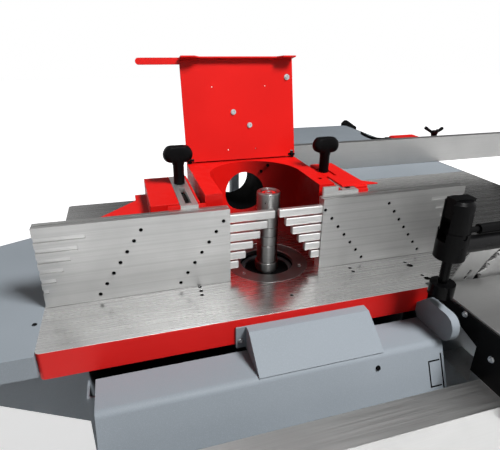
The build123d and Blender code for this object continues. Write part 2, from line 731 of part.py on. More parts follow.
# Hood, lid and extraction
def hood_shell():
    outer = block((-HOOD_HALF_WIDTH, HOOD_HALF_WIDTH), (HOOD_FRONT, HOOD_BACK), (TABLE_HEIGHT, HOOD_TOP))
    outer = fillet(upright_edges(outer).group_by(Axis.Y)[-1], HOOD_CORNER)
    level = (TABLE_HEIGHT, HOOD_TOP)
    mouth = rod_z(0, MOUTH_Y, level, MOUTH_R) + block((-MOUTH_R, MOUTH_R), (HOOD_FRONT, MOUTH_Y), level)
    shell = outer - mouth
    side = HOOD_HALF_WIDTH - HOOD_WALL
    inner = MOUTH_R + HOOD_WALL
    hollow = (TABLE_HEIGHT, HOOD_TOP - HOOD_WALL)
    for x in (-1, 1):
        shell -= block(side_range(x, inner, side), (HOOD_FRONT + HOOD_WALL, MOUTH_Y), hollow)
        corner = [
            (x * side, MOUTH_Y),
            (x * side, HOOD_BACK - HOOD_CORNER - HOOD_WALL),
            (x * (side - HOOD_CORNER), HOOD_BACK - HOOD_WALL),
            (x * (PORT_R + PORT_MARGIN), HOOD_BACK - HOOD_WALL),
            (x * inner, MOUTH_Y + HOOD_CORNER),
            (x * inner, MOUTH_Y),
        ]
        shell -= slab(corner, hollow) - rod_z(0, MOUTH_Y, hollow, inner)
    shell -= rod_y(0, (MOUTH_Y, HOOD_BACK), PORT_Z, PORT_R - SPIGOT_WALL)
    for x in (-1, 1):
        lug_x = side_range(x, HOOD_LUG_X, HOOD_LUG_X + HOOD_LUG)
        shell += block(lug_x, (HINGE_Y - HINGE_EYE_R, HINGE_Y + HINGE_EYE_R), (HOOD_TOP - HOOD_WALL, HINGE_Z))
        shell += rod_x(lug_x, HINGE_Y, HINGE_Z, HINGE_EYE_R)
        shell += rod_x(side_range(x, LID_EYE_X, HOOD_LUG_X + HOOD_LUG / 2), HINGE_Y, HINGE_Z, HINGE_PIN_R)
    return shell


def lid():
    low = HOOD_TOP + LID_GAP
    top = low + LID_SHEET
    edge = HINGE_Y + LID_TAIL
    plate = block((-LID_HALF_WIDTH, LID_HALF_WIDTH), (LID_FRONT, edge), (low, top))
    for x in (-1, 1):
        notch_x = side_range(x, HOOD_LUG_X - LID_NOTCH_GAP, HOOD_LUG_X + HOOD_LUG + LID_NOTCH_GAP)
        plate -= block(notch_x, (edge - LID_NOTCH_Y, edge), (low, top))
    tab_left = -LID_HALF_WIDTH - LID_TAB
    tab = block((tab_left, -LID_HALF_WIDTH), (LID_FRONT, LID_FRONT + LID_TAB_WIDTH), (low, top))
    tab = fillet(upright_edges(tab).group_by(Axis.X)[0], LID_TAB_WIDTH * 0.49)
    ear_inner = LID_HALF_WIDTH - LID_EAR_WIDTH
    step = LID_EAR - LID_LIP
    lip = [
        (-LID_HALF_WIDTH, top),
        (-LID_HALF_WIDTH, top - LID_EAR),
        (-ear_inner, top - LID_EAR),
        (-ear_inner + step, top - LID_LIP),
        (ear_inner - step, top - LID_LIP),
        (ear_inner, top - LID_EAR),
        (LID_HALF_WIDTH, top - LID_EAR),
        (LID_HALF_WIDTH, top),
    ]
    closed = plate + tab + run_y(lip, (LID_FRONT, LID_FRONT + LID_SHEET))
    for x in (-1, 1):
        eye_x = side_range(x, LID_EYE_X, LID_EYE_X + LID_EYE)
        eye_y = (edge - LID_NOTCH_Y - HINGE_EYE_R, HINGE_Y)
        closed += block(eye_x, eye_y, (low, HINGE_Z))
        closed += rod_x(eye_x, HINGE_Y, HINGE_Z, HINGE_Z - low)
        closed -= rod_x(eye_x, HINGE_Y, HINGE_Z, HINGE_PIN_R + RUN)
    return closed.rotate(Axis((0, HINGE_Y, HINGE_Z), (1, 0, 0)), -LID_OPEN)


def extraction_spigot():
    y = (HOOD_BACK, HOOD_BACK + SPIGOT_LENGTH)
    return rod_y(0, y, PORT_Z, PORT_R) - rod_y(0, y, PORT_Z, PORT_R - SPIGOT_WALL)


# Fence carriers, bars and knobs
def carrier_body(side, outer):
    x = side_range(side, CARRIER_INNER, outer)
    y = (HOOD_FRONT, CARRIER_BACK)
    body = block(x, y, (TABLE_HEIGHT, CARRIER_TOP))
    deck = BAR_LOW - CARRIER_DECK
    hollow_x = side_range(side, CARRIER_INNER + CARRIER_WALL, outer - CARRIER_WALL)
    hollow_y = (HOOD_FRONT + CARRIER_WALL, CARRIER_BACK - CARRIER_WALL)
    body -= block(hollow_x, hollow_y, (TABLE_HEIGHT, deck))
    half = BAR_WIDTH / 2 + SLIDE
    body -= block(side_range(side, BAR_X - half, BAR_X + half), y, (BAR_LOW, CARRIER_TOP))
    stud = KNOB_STUD_R + GLIDE
    stud_y = (KNOB_Y - BAR_TRAVEL_FORWARD - stud, KNOB_Y + BAR_TRAVEL_BACK + stud)
    return body - block(side_range(side, BAR_X - stud, BAR_X + stud), stud_y, (deck, BAR_LOW))


def left_carrier():
    body = carrier_body(-1, LEFT_CARRIER_OUTER)
    outer = LEFT_CARRIER_OUTER
    shoulder = outer + WING_STEP
    wing = [
        (-outer, HOOD_FRONT),
        (-outer - WING_REACH, HOOD_FRONT),
        (-shoulder, WING_BEND),
        (-shoulder, WING_BACK),
        (-outer, WING_BACK),
    ]
    top = TABLE_HEIGHT + WING_HEIGHT
    return body + slab(wing, (top - WING_THICK, top))


def right_carrier():
    body = carrier_body(1, RIGHT_CARRIER_OUTER)
    low = CARRIER_TOP + COVER_GAP
    outer = RIGHT_CARRIER_OUTER
    rest = block((BAR_X + BAR_WIDTH / 2 + SLIDE, outer), (HOOD_FRONT, CARRIER_BACK), (CARRIER_TOP, low))
    outline = [
        (COVER_INNER, COVER_FRONT),
        (outer + COVER_FLARE, COVER_FRONT),
        (outer, COVER_FRONT + COVER_FLARE_START),
        (outer, CARRIER_BACK),
        (COVER_INNER, CARRIER_BACK),
    ]
    cover = slab(outline, (low, low + SHEET))
    stem = KNOB_STEM_R + GLIDE
    stem_y = (KNOB_Y - BAR_TRAVEL_FORWARD - stem, KNOB_Y + BAR_TRAVEL_BACK + stem)
    cover -= block((COVER_INNER, BAR_X + stem), stem_y, (low, low + SHEET))
    return body + rest + cover


def fence_bar(side):
    x = side_range(side, BAR_X - BAR_WIDTH / 2, BAR_X + BAR_WIDTH / 2)
    bar = block(x, (PLATE_BACK, CARRIER_BACK), (BAR_LOW, CARRIER_TOP))
    foot_z = (TABLE_HEIGHT + FOOT_LIFT, CARRIER_TOP)
    foot_y = (PLATE_BACK, PLATE_BACK + FOOT_THICK)
    bar += block(side_range(side, FOOT_INNER, FOOT_OUTER), foot_y, foot_z)
    slot = BAR_SLOT_WIDTH / 2
    slot_x = side_range(side, BAR_X - slot, BAR_X + slot)
    bar -= block(slot_x, (BAR_SLOT_START, BAR_SLOT_END), (BAR_LOW, CARRIER_TOP))
    return bar - rod_z(side * BAR_X, KNOB_Y, (BAR_LOW, CARRIER_TOP), KNOB_STUD_R + RUN)


def right_fence_bar():
    """The infeed bar also carries a steel adjusting block in front of the hood's arm."""
    adjuster_y = (PLATE_BACK, PLATE_BACK + FOOT_THICK)
    top = TABLE_HEIGHT + ADJUSTER_HEIGHT
    low = TABLE_HEIGHT + FOOT_LIFT
    adjuster = block((ADJUSTER_INNER, FOOT_INNER), adjuster_y, (low, top))
    return fence_bar(1) + adjuster


def knob(side):
    x = side * BAR_X
    head = Box(KNOB_HEAD_LENGTH, KNOB_HEAD_WIDTH, KNOB_HEAD_HEIGHT)
    centre = KNOB_HEAD_LOW + KNOB_HEAD_HEIGHT / 2
    head = Pos(x, KNOB_Y, centre) * head
    head = fillet(upright_edges(head), KNOB_HEAD_WIDTH * 0.48)
    head = chamfer(head.edges().group_by(Axis.Z)[-1], KNOB_HEAD_EDGE)
    stem = rod_z(x, KNOB_Y, (CARRIER_TOP, centre), KNOB_STEM_R)
    nut_top = BAR_LOW - CARRIER_DECK - GLIDE
    nut_low = nut_top - KNOB_NUT_THICK
    stud = rod_z(x, KNOB_Y, (nut_low, CARRIER_TOP), KNOB_STUD_R)
    half = KNOB_NUT / 2
    nut = block((x - half, x + half), (KNOB_Y - half, KNOB_Y + half), (nut_low, nut_top))
    return head + stem + stud + nut


# Fence plates and finger bars
def finger_level(row):
    """Centre height of a finger bar; row 0 is the lowest."""
    return TABLE_HEIGHT + FINGER_FIRST + FINGER_PITCH * row


def finger_reach(row):
    """How far a finger stands out of its plate towards the spindle."""
    return FINGER_SHORTEST_REACH + FINGER_REACH_STEP * row


def finger_tail(row):
    """Distance of a finger's outer end from the spindle."""
    return PLATE_INNER - finger_reach(row) + FINGER_LENGTH


def fence_plate(side):
    outer = PLATE_INNER + PLATE_LENGTH
    x = side_range(side, PLATE_INNER, outer)
    plate = block(x, (FENCE_FACE, PLATE_BACK), (PLATE_LOW, PLATE_TOP))
    groove_y = FENCE_FACE + PLATE_THICK / 2
    groove = (groove_y - PLATE_GROOVE / 2, groove_y + PLATE_GROOVE / 2)
    plate -= block(x, groove, (PLATE_TOP - PLATE_GROOVE_DEPTH, PLATE_TOP))
    half = FINGER_HEIGHT / 2 + SLIDE
    back = FENCE_FACE + PLATE_SKIN + FINGER_SIZE + 2 * SLIDE
    for row in range(FINGER_COUNT):
        level = finger_level(row)
        plate -= block(x, (FENCE_FACE + PLATE_SKIN, back), (level - half, level + half))
        window_x = side_range(side, finger_tail(row), outer)
        window_z = (level - WINDOW_HEIGHT / 2, level + WINDOW_HEIGHT / 2)
        plate -= block(window_x, (FENCE_FACE, FENCE_FACE + PLATE_SKIN), window_z)
    return plate


def finger(side, row):
    inner = PLATE_INNER - finger_reach(row)
    x = side_range(side, inner, finger_tail(row))
    y = FENCE_FACE + PLATE_SKIN + SLIDE
    level = finger_level(row)
    bar = block(x, (y, y + FINGER_SIZE), (level - FINGER_HEIGHT / 2, level + FINGER_HEIGHT / 2))
    tip = bar.faces().sort_by(Axis.X)[0 if side > 0 else -1]
    return chamfer(tip.edges(), FINGER_BEVEL)


# Spindle unit
def quill_guide():
    flange = (UNDER_PLATE - GUIDE_FLANGE, UNDER_PLATE)
    guide = rod_z(0, 0, (GUIDE_BOTTOM, UNDER_PLATE), GUIDE_R) + rod_z(0, 0, flange, GUIDE_FLANGE_R)
    rib = [
        (-GUIDE_FLANGE_R + GUIDE_RIB, flange[0]),
        (GUIDE_FLANGE_R - GUIDE_RIB, flange[0]),
        (GUIDE_R - GUIDE_RIB, GUIDE_BOTTOM),
        (GUIDE_RIB - GUIDE_R, GUIDE_BOTTOM),
    ]
    guide += run_y(rib, (-GUIDE_RIB / 2, GUIDE_RIB / 2)) + run_x(rib, (-GUIDE_RIB / 2, GUIDE_RIB / 2))
    return guide - rod_z(0, 0, (GUIDE_BOTTOM, UNDER_PLATE), QUILL_R + RUN)


def quill():
    tube = rod_z(0, 0, (QUILL_BOTTOM, QUILL_TOP), QUILL_R)
    plate_z = (QUILL_BOTTOM, QUILL_BOTTOM + QUILL_PLATE)
    near = Circle(QUILL_PLATE_R)
    far = Pos(0, MOTOR_Y, 0) * Circle(MOTOR_PLATE_R)
    outline = make_hull(near.edges() + far.edges())
    plate = Pos(0, 0, plate_z[0]) * extrude(outline, QUILL_PLATE, dir=(0, 0, 1))
    body = tube + plate
    body -= rod_z(0, 0, (QUILL_BOTTOM, QUILL_TOP), SHAFT_R + RUN)
    body -= rod_z(0, 0, (BEARING_LOW + BEARING_WIDTH, BEARING_TOP - BEARING_WIDTH), QUILL_BORE_R)
    return body - rod_z(0, MOTOR_Y, plate_z, MOTOR_SHAFT_R + SLIDE)


def spindle_shaft():
    """Pulley, shaft, flange and bevelled spacing rings as one turned profile, under the cap."""
    shoulder = TABLE_HEIGHT + FLANGE_BOTTOM
    rings = [TABLE_HEIGHT + level for level in COLLAR_LEVELS]
    outline = [
        (0, PULLEY_LOW),
        (SPINDLE_PULLEY_R, PULLEY_LOW),
        (SPINDLE_PULLEY_R, PULLEY_TOP),
        (SHAFT_TAIL_R, PULLEY_TOP),
        (SHAFT_TAIL_R, BEARING_LOW),
        (SHAFT_R, BEARING_LOW),
        (SHAFT_R, shoulder),
        (FLANGE_R, shoulder),
        (FLANGE_R, rings[0]),
    ]
    for low, high in zip(rings, rings[1:]):
        outline.append((COLLAR_R - COLLAR_BEVEL, low))
        outline.append((COLLAR_R, low + COLLAR_BEVEL))
        outline.append((COLLAR_R, high - COLLAR_BEVEL))
    outline += [
        (COLLAR_R - COLLAR_BEVEL, rings[-1]),
        (SPINDLE_R, rings[-1]),
        (SPINDLE_R, TABLE_HEIGHT + SPINDLE_TOP),
        (0, TABLE_HEIGHT + SPINDLE_TOP),
    ]
    shaft = revolve(Plane.XZ * make_face(Polyline(*outline, close=True)), Axis.Z)
    return [shaft, spindle_cap()]


def spindle_cap():
    low = TABLE_HEIGHT + CAP_LOW
    top = TABLE_HEIGHT + CAP_TOP
    bore_top = TABLE_HEIGHT + SPINDLE_TOP
    cap = rod_z(0, 0, (low, top), CAP_R)
    cap += rod_z(0, 0, (TABLE_HEIGHT + COLLAR_LEVELS[-1], low), CAP_NECK_R)
    cap -= rod_z(0, 0, (TABLE_HEIGHT + COLLAR_LEVELS[-1], bore_top), SPINDLE_R + RUN)
    cap -= rod_z(0, 0, (top - CAP_RECESS, top), CAP_RECESS_R)
    return cap


def motor_pulley():
    shaft_top = QUILL_BOTTOM + QUILL_PLATE + MOTOR_HEIGHT * 0.9
    rotor = rod_z(0, MOTOR_Y, (PULLEY_LOW, PULLEY_TOP), MOTOR_PULLEY_R)
    return rotor + rod_z(0, MOTOR_Y, (PULLEY_LOW, shaft_top), MOTOR_SHAFT_R)


def spindle_motor():
    low = QUILL_BOTTOM + QUILL_PLATE
    top = low + MOTOR_HEIGHT
    casing = rod_z(0, MOTOR_Y, (low, top), MOTOR_R)
    box_y = (MOTOR_Y + MOTOR_R / 2, MOTOR_Y + MOTOR_R + 2 * MOTOR_SHAFT_R)
    casing += block((-MOTOR_R / 2, MOTOR_R / 2), box_y, (low + MOTOR_HEIGHT / 4, low + MOTOR_HEIGHT / 2))
    bore_top = low + MOTOR_HEIGHT * 0.9 + GLIDE
    return casing - rod_z(0, MOTOR_Y, (low, bore_top), MOTOR_SHAFT_R + RUN)


def belt_outline(grow):
    near = Circle(SPINDLE_PULLEY_R + grow)
    far = Pos(0, MOTOR_Y, 0) * Circle(MOTOR_PULLEY_R + grow)
    return make_hull(near.edges() + far.edges())


def drive_belt():
    loop = belt_outline(SLIDE + BELT_THICK) - belt_outline(SLIDE)
    width = PULLEY_WIDTH - 2 * BELT_MARGIN
    return Pos(0, 0, PULLEY_LOW + BELT_MARGIN) * extrude(loop, width, dir=(0, 0, 1))


# Handwheels
def handwheel(x):
    rim_y = CABINET_FRONT - WHEEL_STAND_OFF
    axis = Pos(x, rim_y, WHEEL_Z) * Rot(90, 0, 0)
    rim = Cylinder(WHEEL_R + WHEEL_RIM_R, 2 * WHEEL_RIM_R) - Cylinder(WHEEL_R - WHEEL_RIM_R, 2 * WHEEL_RIM_R)
    for turn in range(3):
        spoke = Pos(WHEEL_R / 2, 0, 0) * Box(WHEEL_R, WHEEL_SPOKE, WHEEL_SPOKE / 2)
        rim += Rot(0, 0, 30 + 120 * turn) * spoke
    hub_y = (rim_y - WHEEL_HUB / 2, CABINET_FRONT)
    wheel = axis * rim + rod_y(x, hub_y, WHEEL_Z, WHEEL_HUB_R)
    wheel += rod_y(x, (rim_y, WHEEL_SHAFT_END), WHEEL_Z, WHEEL_SHAFT_R)
    grip_z = WHEEL_Z + WHEEL_R
    return wheel + rod_y(x, (rim_y - WHEEL_GRIP, rim_y), grip_z, WHEEL_GRIP_R)


# Saw unit
def saw_bracket():
    face = PARTITION_X + PANEL / 2
    half = SAW_BRACKET_HALF
    plate = block((face, face + SAW_BRACKET_PLATE), (-half, half), (SAW_BRACKET_LOW, SAW_BRACKET_TOP))
    lug_x = (face, SAW_ROD_X + 2 * SAW_ROD_R)
    for low in (SAW_BRACKET_LOW, SAW_BRACKET_TOP - SAW_LUG):
        plate += block(lug_x, (-half, half), (low, low + SAW_LUG))
    for y in (-SAW_ROD_SPREAD, SAW_ROD_SPREAD):
        plate += rod_z(SAW_ROD_X, y, (SAW_BRACKET_LOW, SAW_BRACKET_TOP), SAW_ROD_R)
    return plate


def saw_arm():
    arm = block(SLEEVE_X, (-SLEEVE_HALF, SLEEVE_HALF), (SLEEVE_LOW, SLEEVE_TOP))
    for y in (-SAW_ROD_SPREAD, SAW_ROD_SPREAD):
        arm -= rod_z(SAW_ROD_X, y, (SLEEVE_LOW, SLEEVE_TOP), SAW_ROD_R + RUN)
    reach = (SLEEVE_X[1] - SAW_ROD_R / 2, SAW_X)
    arm += block(reach, SAW_ARM_Y, SAW_ARM_Z)
    arm += block((reach[0], SAW_PLATE_END), SAW_PLATE_Y, SAW_PLATE_Z)
    holder_back = SAW_ARM_Y[0] + SAW_ROD_R
    arm += block(HOLDER_X, (BLADE_Y + KNIFE_THICK / 2, holder_back), HOLDER_Z)
    housing = (SAW_HOUSING_FRONT, SAW_HOUSING_BACK)
    arm += rod_y(SAW_X, housing, SAW_Z, SAW_HOUSING_R)
    return arm - rod_y(SAW_X, housing, SAW_Z, ARBOR_R + RUN)


def saw_motor():
    start = SAW_PLATE_Y[1]
    end = start + SAW_MOTOR_LENGTH
    casing = rod_y(SAW_MOTOR_X, (start, end), SAW_MOTOR_Z, SAW_MOTOR_R)
    box_x = (SAW_MOTOR_X - SAW_MOTOR_R / 2, SAW_MOTOR_X + SAW_MOTOR_R / 2)
    box_z = (SAW_MOTOR_Z + SAW_MOTOR_R / 2, SAW_MOTOR_Z + SAW_MOTOR_R * 1.25)
    return casing + block(box_x, (start + SAW_MOTOR_LENGTH / 3, start + SAW_MOTOR_LENGTH * 2 / 3), box_z)


def saw_arbor():
    arbor = rod_y(SAW_X, (ARBOR_FRONT, ARBOR_BACK), SAW_Z, ARBOR_R)
    inner = BLADE_Y + BLADE_THICK / 2
    arbor += rod_y(SAW_X, (inner, inner + ARBOR_FLANGE), SAW_Z, ARBOR_FLANGE_R)
    outer = BLADE_Y - BLADE_THICK / 2
    arbor += rod_y(SAW_X, (outer - ARBOR_FLANGE, outer), SAW_Z, ARBOR_FLANGE_R)
    nut = Plane.XZ * RegularPolygon(ARBOR_NUT / 2, 6)
    nut_front = outer - 2 * ARBOR_FLANGE
    return arbor + Pos(SAW_X, nut_front, SAW_Z) * extrude(nut, ARBOR_FLANGE, dir=(0, 1, 0))


def saw_blade():
    points = []
    for tooth in range(BLADE_TEETH):
        turn = 360 / BLADE_TEETH * tooth
        for radius, angle in ((BLADE_R, turn), (BLADE_R - TOOTH_DEPTH, turn + 120 / BLADE_TEETH)):
            points.append((SAW_X + radius * cos(radians(angle)), SAW_Z + radius * sin(radians(angle))))
    faces = (BLADE_Y - BLADE_THICK / 2, BLADE_Y + BLADE_THICK / 2)
    return run_y(points, faces) - rod_y(SAW_X, faces, SAW_Z, ARBOR_R + RUN)


def riving_knife():
    inner = BLADE_R + KNIFE_GAP
    outer = inner + KNIFE_WIDTH
    reach = outer * 2
    wedge = [(SAW_X, SAW_Z)]
    for angle in (KNIFE_START, (KNIFE_START + KNIFE_END) / 2, KNIFE_END):
        wedge.append((SAW_X + reach * cos(radians(angle)), SAW_Z + reach * sin(radians(angle))))
    faces = (BLADE_Y - KNIFE_THICK / 2, BLADE_Y + KNIFE_THICK / 2)
    ring = rod_y(SAW_X, faces, SAW_Z, outer) - rod_y(SAW_X, faces, SAW_Z, inner)
    knife = ring & run_y(wedge, faces)
    top_corners = knife.edges().filter_by(Axis.Y).sort_by(Axis.Z)[-2:]
    return fillet(top_corners, KNIFE_CORNER)


# Sliding table
def slide_beam():
    x = (BEAM_LEFT, BEAM_LEFT + BEAM_LENGTH)
    low = BEAM_TOP - BEAM_HEIGHT
    beam = block(x, (BEAM_FRONT, BEAM_BACK), (low, BEAM_TOP))
    inside_y = (BEAM_FRONT + BEAM_WALL, BEAM_BACK - BEAM_WALL)
    beam -= block(x, inside_y, (low + BEAM_WALL, BEAM_TOP - BEAM_WALL))
    brackets = []
    for centre in BRACKET_CENTRES:
        width = (centre - BRACKET_WIDTH / 2, centre + BRACKET_WIDTH / 2)
        brackets.append(block(width, (BEAM_BACK, CABINET_FRONT), (BRACKET_LOW, BRACKET_TOP)))
    return [beam, *brackets]


def sliding_table():
    under = TABLE_HEIGHT - SLIDER_PLATE
    outer_wall = BEAM_FRONT - SLIDER_OUTER_WALL
    inner_wall = BEAM_BACK + SLIDER_INNER_WALL
    skirt = BEAM_TOP - SLIDER_SKIRT
    section = [
        (SLIDER_INNER, TABLE_HEIGHT),
        (SLIDER_OUTER, TABLE_HEIGHT),
        (SLIDER_OUTER, under),
        (outer_wall, under),
        (outer_wall, skirt),
        (BEAM_FRONT - GLIDE, skirt),
        (BEAM_FRONT - GLIDE, BEAM_TOP + GLIDE),
        (BEAM_BACK + GLIDE, BEAM_TOP + GLIDE),
        (BEAM_BACK + GLIDE, skirt),
        (inner_wall, skirt),
        (inner_wall, under),
        (SLIDER_INNER, under),
    ]
    x = (SLIDER_LEFT, SLIDER_RIGHT)
    profile = run_x(section, x)
    chamber_y = (outer_wall + SLIDER_CHAMBER, inner_wall - SLIDER_CHAMBER)
    profile -= block(x, chamber_y, (BEAM_TOP + SLIDER_CHAMBER, under - SLIDER_CHAMBER))
    groove = (GROOVE_Y - GROOVE_WIDTH / 2, GROOVE_Y + GROOVE_WIDTH / 2)
    return profile - block(x, groove, (TABLE_HEIGHT - GROOVE_DEPTH, TABLE_HEIGHT))


def slide_end_caps():
    under = TABLE_HEIGHT - SLIDER_PLATE
    outer_wall = BEAM_FRONT - SLIDER_OUTER_WALL
    inner_wall = BEAM_BACK + SLIDER_INNER_WALL
    low = BEAM_TOP + END_CAP_INSET
    section = [
        (SLIDER_INNER - END_CAP_INSET, TABLE_HEIGHT - END_CAP),
        (SLIDER_OUTER + END_CAP_INSET, TABLE_HEIGHT - END_CAP),
        (SLIDER_OUTER + END_CAP_INSET, under),
        (outer_wall, under - END_CAP_SHOULDER),
        (outer_wall, low),
        (inner_wall, low),
        (inner_wall, under - END_CAP_SHOULDER),
        (SLIDER_INNER - END_CAP_INSET, under),
    ]
    return [run_x(section, (start, start + END_CAP)) for start in (SLIDER_LEFT - END_CAP, SLIDER_RIGHT)]


# Clamp on the sliding table
def clamp_post():
    base_z = (TABLE_HEIGHT, TABLE_HEIGHT + CLAMP_BASE_THICK)
    half = CLAMP_BASE / 2
    post = block((CLAMP_POST_X - half, CLAMP_POST_X + half), (CLAMP_Y - half, CLAMP_Y + half), base_z)
    post += rod_z(CLAMP_POST_X, CLAMP_Y, (TABLE_HEIGHT, CLAMP_POST_TOP), CLAMP_POST_R)
    post += Pos(CLAMP_POST_X, CLAMP_Y, CLAMP_ARM_Z) * Box(CLAMP_COLLAR, CLAMP_COLLAR, CLAMP_COLLAR)
    post += rod_x((CLAMP_X, CLAMP_POST_X), CLAMP_Y, CLAMP_ARM_Z, CLAMP_ARM_R)
    post += clamp_body()
    bore_top = LEVER_Z - LEVER_BOSS_R
    return post - rod_z(CLAMP_X, CLAMP_Y, (CLAMP_BODY[0], bore_top), PLUNGER_R + RUN)


def clamp_body():
    """Yoke that guides the plunger; its lever turns in a window under a square block."""
    yoke = rod_z(CLAMP_X, CLAMP_Y, CLAMP_BODY, CLAMP_BODY_R)
    yoke = chamfer(yoke.edges().group_by(Axis.Z)[-1], CLAMP_BODY_EDGE)
    yoke += rod_z(CLAMP_X, CLAMP_Y, (CLAMP_BODY[0], CLAMP_WAIST_TOP), CLAMP_WAIST_R)
    slot_x = (CLAMP_X - CLAMP_WAIST_R, CLAMP_X + CLAMP_WAIST_R)
    slot_y = (CLAMP_Y - LEVER_BOSS / 2 - SLIDE, CLAMP_Y + LEVER_BOSS / 2 + SLIDE)
    yoke -= block(slot_x, slot_y, (LEVER_Z - LEVER_BOSS_R - GLIDE, CLAMP_BODY[1]))
    yoke += block((CLAMP_X - CLAMP_BLOCK / 2, CLAMP_X + CLAMP_BLOCK / 2), slot_y, CLAMP_BLOCK_Z)
    pin_y = (CLAMP_Y - CLAMP_WAIST_R, CLAMP_Y + CLAMP_WAIST_R)
    return yoke - rod_y(CLAMP_X, pin_y, LEVER_Z, LEVER_PIN_R + RUN)


def clamp_plunger():
    pad = rod_z(CLAMP_X, CLAMP_Y, (PAD_LOW, PAD_LOW + PAD_HEIGHT), PAD_R)
    return pad + rod_z(CLAMP_X, CLAMP_Y, (PAD_LOW, PLUNGER_TOP), PLUNGER_R)


def clamp_lever():
    boss_y = (CLAMP_Y - LEVER_BOSS / 2, CLAMP_Y + LEVER_BOSS / 2)
    lever = rod_y(CLAMP_X, boss_y, LEVER_Z, LEVER_BOSS_R)
    lever += rod_y(CLAMP_X, (CLAMP_Y - CLAMP_BODY_R, CLAMP_Y + CLAMP_BODY_R), LEVER_Z, LEVER_PIN_R)
    end = CLAMP_X + LEVER_LENGTH
    lever += rod_x((CLAMP_X, end), CLAMP_Y, LEVER_Z, LEVER_ROD_R)
    return lever + rod_x((end - LEVER_GRIP, end), CLAMP_Y, LEVER_Z, LEVER_GRIP_R)


# Rip fence
def rip_rail():
    rail = rod_y(RAIL_X, (RAIL_FRONT, RAIL_BACK), RAIL_Z, RAIL_R)
    first = RAIL_FRONT + RAIL_STAND_INSET
    pitch = (RAIL_BACK - 2 * RAIL_STAND_INSET - RAIL_FRONT) / (RAIL_STANDS - 1)
    stand_z = (RAIL_Z - RAIL_STAND_HEIGHT / 2, RAIL_Z + RAIL_STAND_HEIGHT / 2)
    for stand in range(RAIL_STANDS):
        y = first + pitch * stand
        rail += block((TABLE_RIGHT, RAIL_X), (y - RAIL_STAND / 2, y + RAIL_STAND / 2), stand_z)
    low = TABLE_HEIGHT - RAIL_STOP_DROP
    top = TABLE_HEIGHT + RAIL_STOP_RISE
    crest = (RAIL_X - RAIL_STOP_TOP, RAIL_X)
    stop = [
        (RAIL_STOP_X[0], low),
        (RAIL_STOP_X[1], low),
        (RAIL_STOP_X[1], RAIL_Z),
        (crest[1], top),
        (crest[0], top),
        (RAIL_STOP_X[0], top - RAIL_STOP_TOP),
    ]
    return rail + run_y(stop, (RAIL_BACK - RAIL_STOP, RAIL_BACK))


def rip_fence_plate():
    low = TABLE_HEIGHT + RIP_LIFT
    top = TABLE_HEIGHT + RIP_HEIGHT
    section = [
        (RIP_FACE, low),
        (RIP_BACK, low),
        (RIP_BACK, low + RIP_LIP),
        (RIP_BACK - RIP_STEP, low + 2 * RIP_LIP),
        (RIP_BACK - RIP_STEP, top - 2 * RIP_LIP),
        (RIP_BACK, top - RIP_LIP),
        (RIP_BACK, top),
        (RIP_FACE, top),
    ]
    return run_x(section, (RIP_LEFT, RIP_LEFT + RIP_LENGTH))


def rip_fence_head():
    low = TABLE_HEIGHT + HEAD_LIFT
    back = RIP_BACK + HEAD_DEPTH
    head = block(HEAD_X, (RIP_BACK, back), (low, HEAD_TOP))
    head = fillet(upright_edges(head).group_by(Axis.Y)[-1], HEAD_CORNER)
    housing_y = (RIP_BACK, RIP_BACK + HOUSING_DEPTH)
    housing = block(HOUSING_X, housing_y, (HEAD_TOP, TABLE_HEIGHT + HOUSING_HEIGHT))
    head += chamfer(housing.edges().filter_by(Axis.Y).group_by(Axis.Z)[-1], HOUSING_EDGE)
    shoe_y = (RIP_BACK + HEAD_CORNER, back - HEAD_CORNER)
    hook_x = RAIL_X + RAIL_R + GLIDE
    head += block((TABLE_RIGHT + GLIDE, hook_x + HEAD_HOOK_WALL), shoe_y, (RAIL_Z + RAIL_R + GLIDE, low))
    head += block((hook_x, hook_x + HEAD_HOOK_WALL), shoe_y, (TABLE_HEIGHT - HEAD_HOOK, low))
    for x, y in ((RIP_KNOB_X, RIP_KNOB_Y), (HANDLE_X, HANDLE_Y)):
        head -= rod_z(x, y, (HEAD_TOP - RIP_STUD - GLIDE, HEAD_TOP), RIP_STUD_R + RUN)
    return head


def rip_fence_knob():
    """Three-armed clamping knob; its arms rise from the hub."""
    hub = rod_z(0, 0, (0, RIP_KNOB_HUB), RIP_KNOB_R) + rod_z(0, 0, (-RIP_STUD, 0), RIP_STUD_R)
    arm = rod_x((0, RIP_KNOB_ARM), 0, 0, RIP_KNOB_ARM_R)
    root = RIP_KNOB_HUB - 2 * RIP_KNOB_ARM_R
    for turn in range(3):
        hub += Pos(0, 0, root) * Rot(0, 0, RIP_KNOB_TURN + 120 * turn) * Rot(0, -RIP_KNOB_TILT, 0) * arm
    return Pos(RIP_KNOB_X, RIP_KNOB_Y, HEAD_TOP) * hub


def rip_fence_handle():
    """Bent clamping handle that curves up towards its tip."""
    hub = rod_z(0, 0, (0, HANDLE_HUB), HANDLE_HUB_R) + rod_z(0, 0, (-RIP_STUD, 0), RIP_STUD_R)
    root = HANDLE_HUB - HANDLE_SIZE
    mid = (-HANDLE_REACH / 2, root + HANDLE_RISE / 2 - HANDLE_SAG)
    tip = (-HANDLE_REACH, root + HANDLE_RISE)
    lower = ThreePointArc((0, root), mid, tip)
    upper = ThreePointArc((0, HANDLE_HUB), (mid[0], mid[1] + HANDLE_SIZE), (tip[0], tip[1] + HANDLE_SIZE))
    ends = [Line(lower @ 0, upper @ 0), Line(lower @ 1, upper @ 1)]
    section = Plane.XZ * make_face([lower, upper, *ends])
    arm = Pos(0, -HANDLE_SIZE / 2, 0) * extrude(section, HANDLE_SIZE, dir=(0, 1, 0))
    return Pos(HANDLE_X, HANDLE_Y, HEAD_TOP) * (hub + arm)


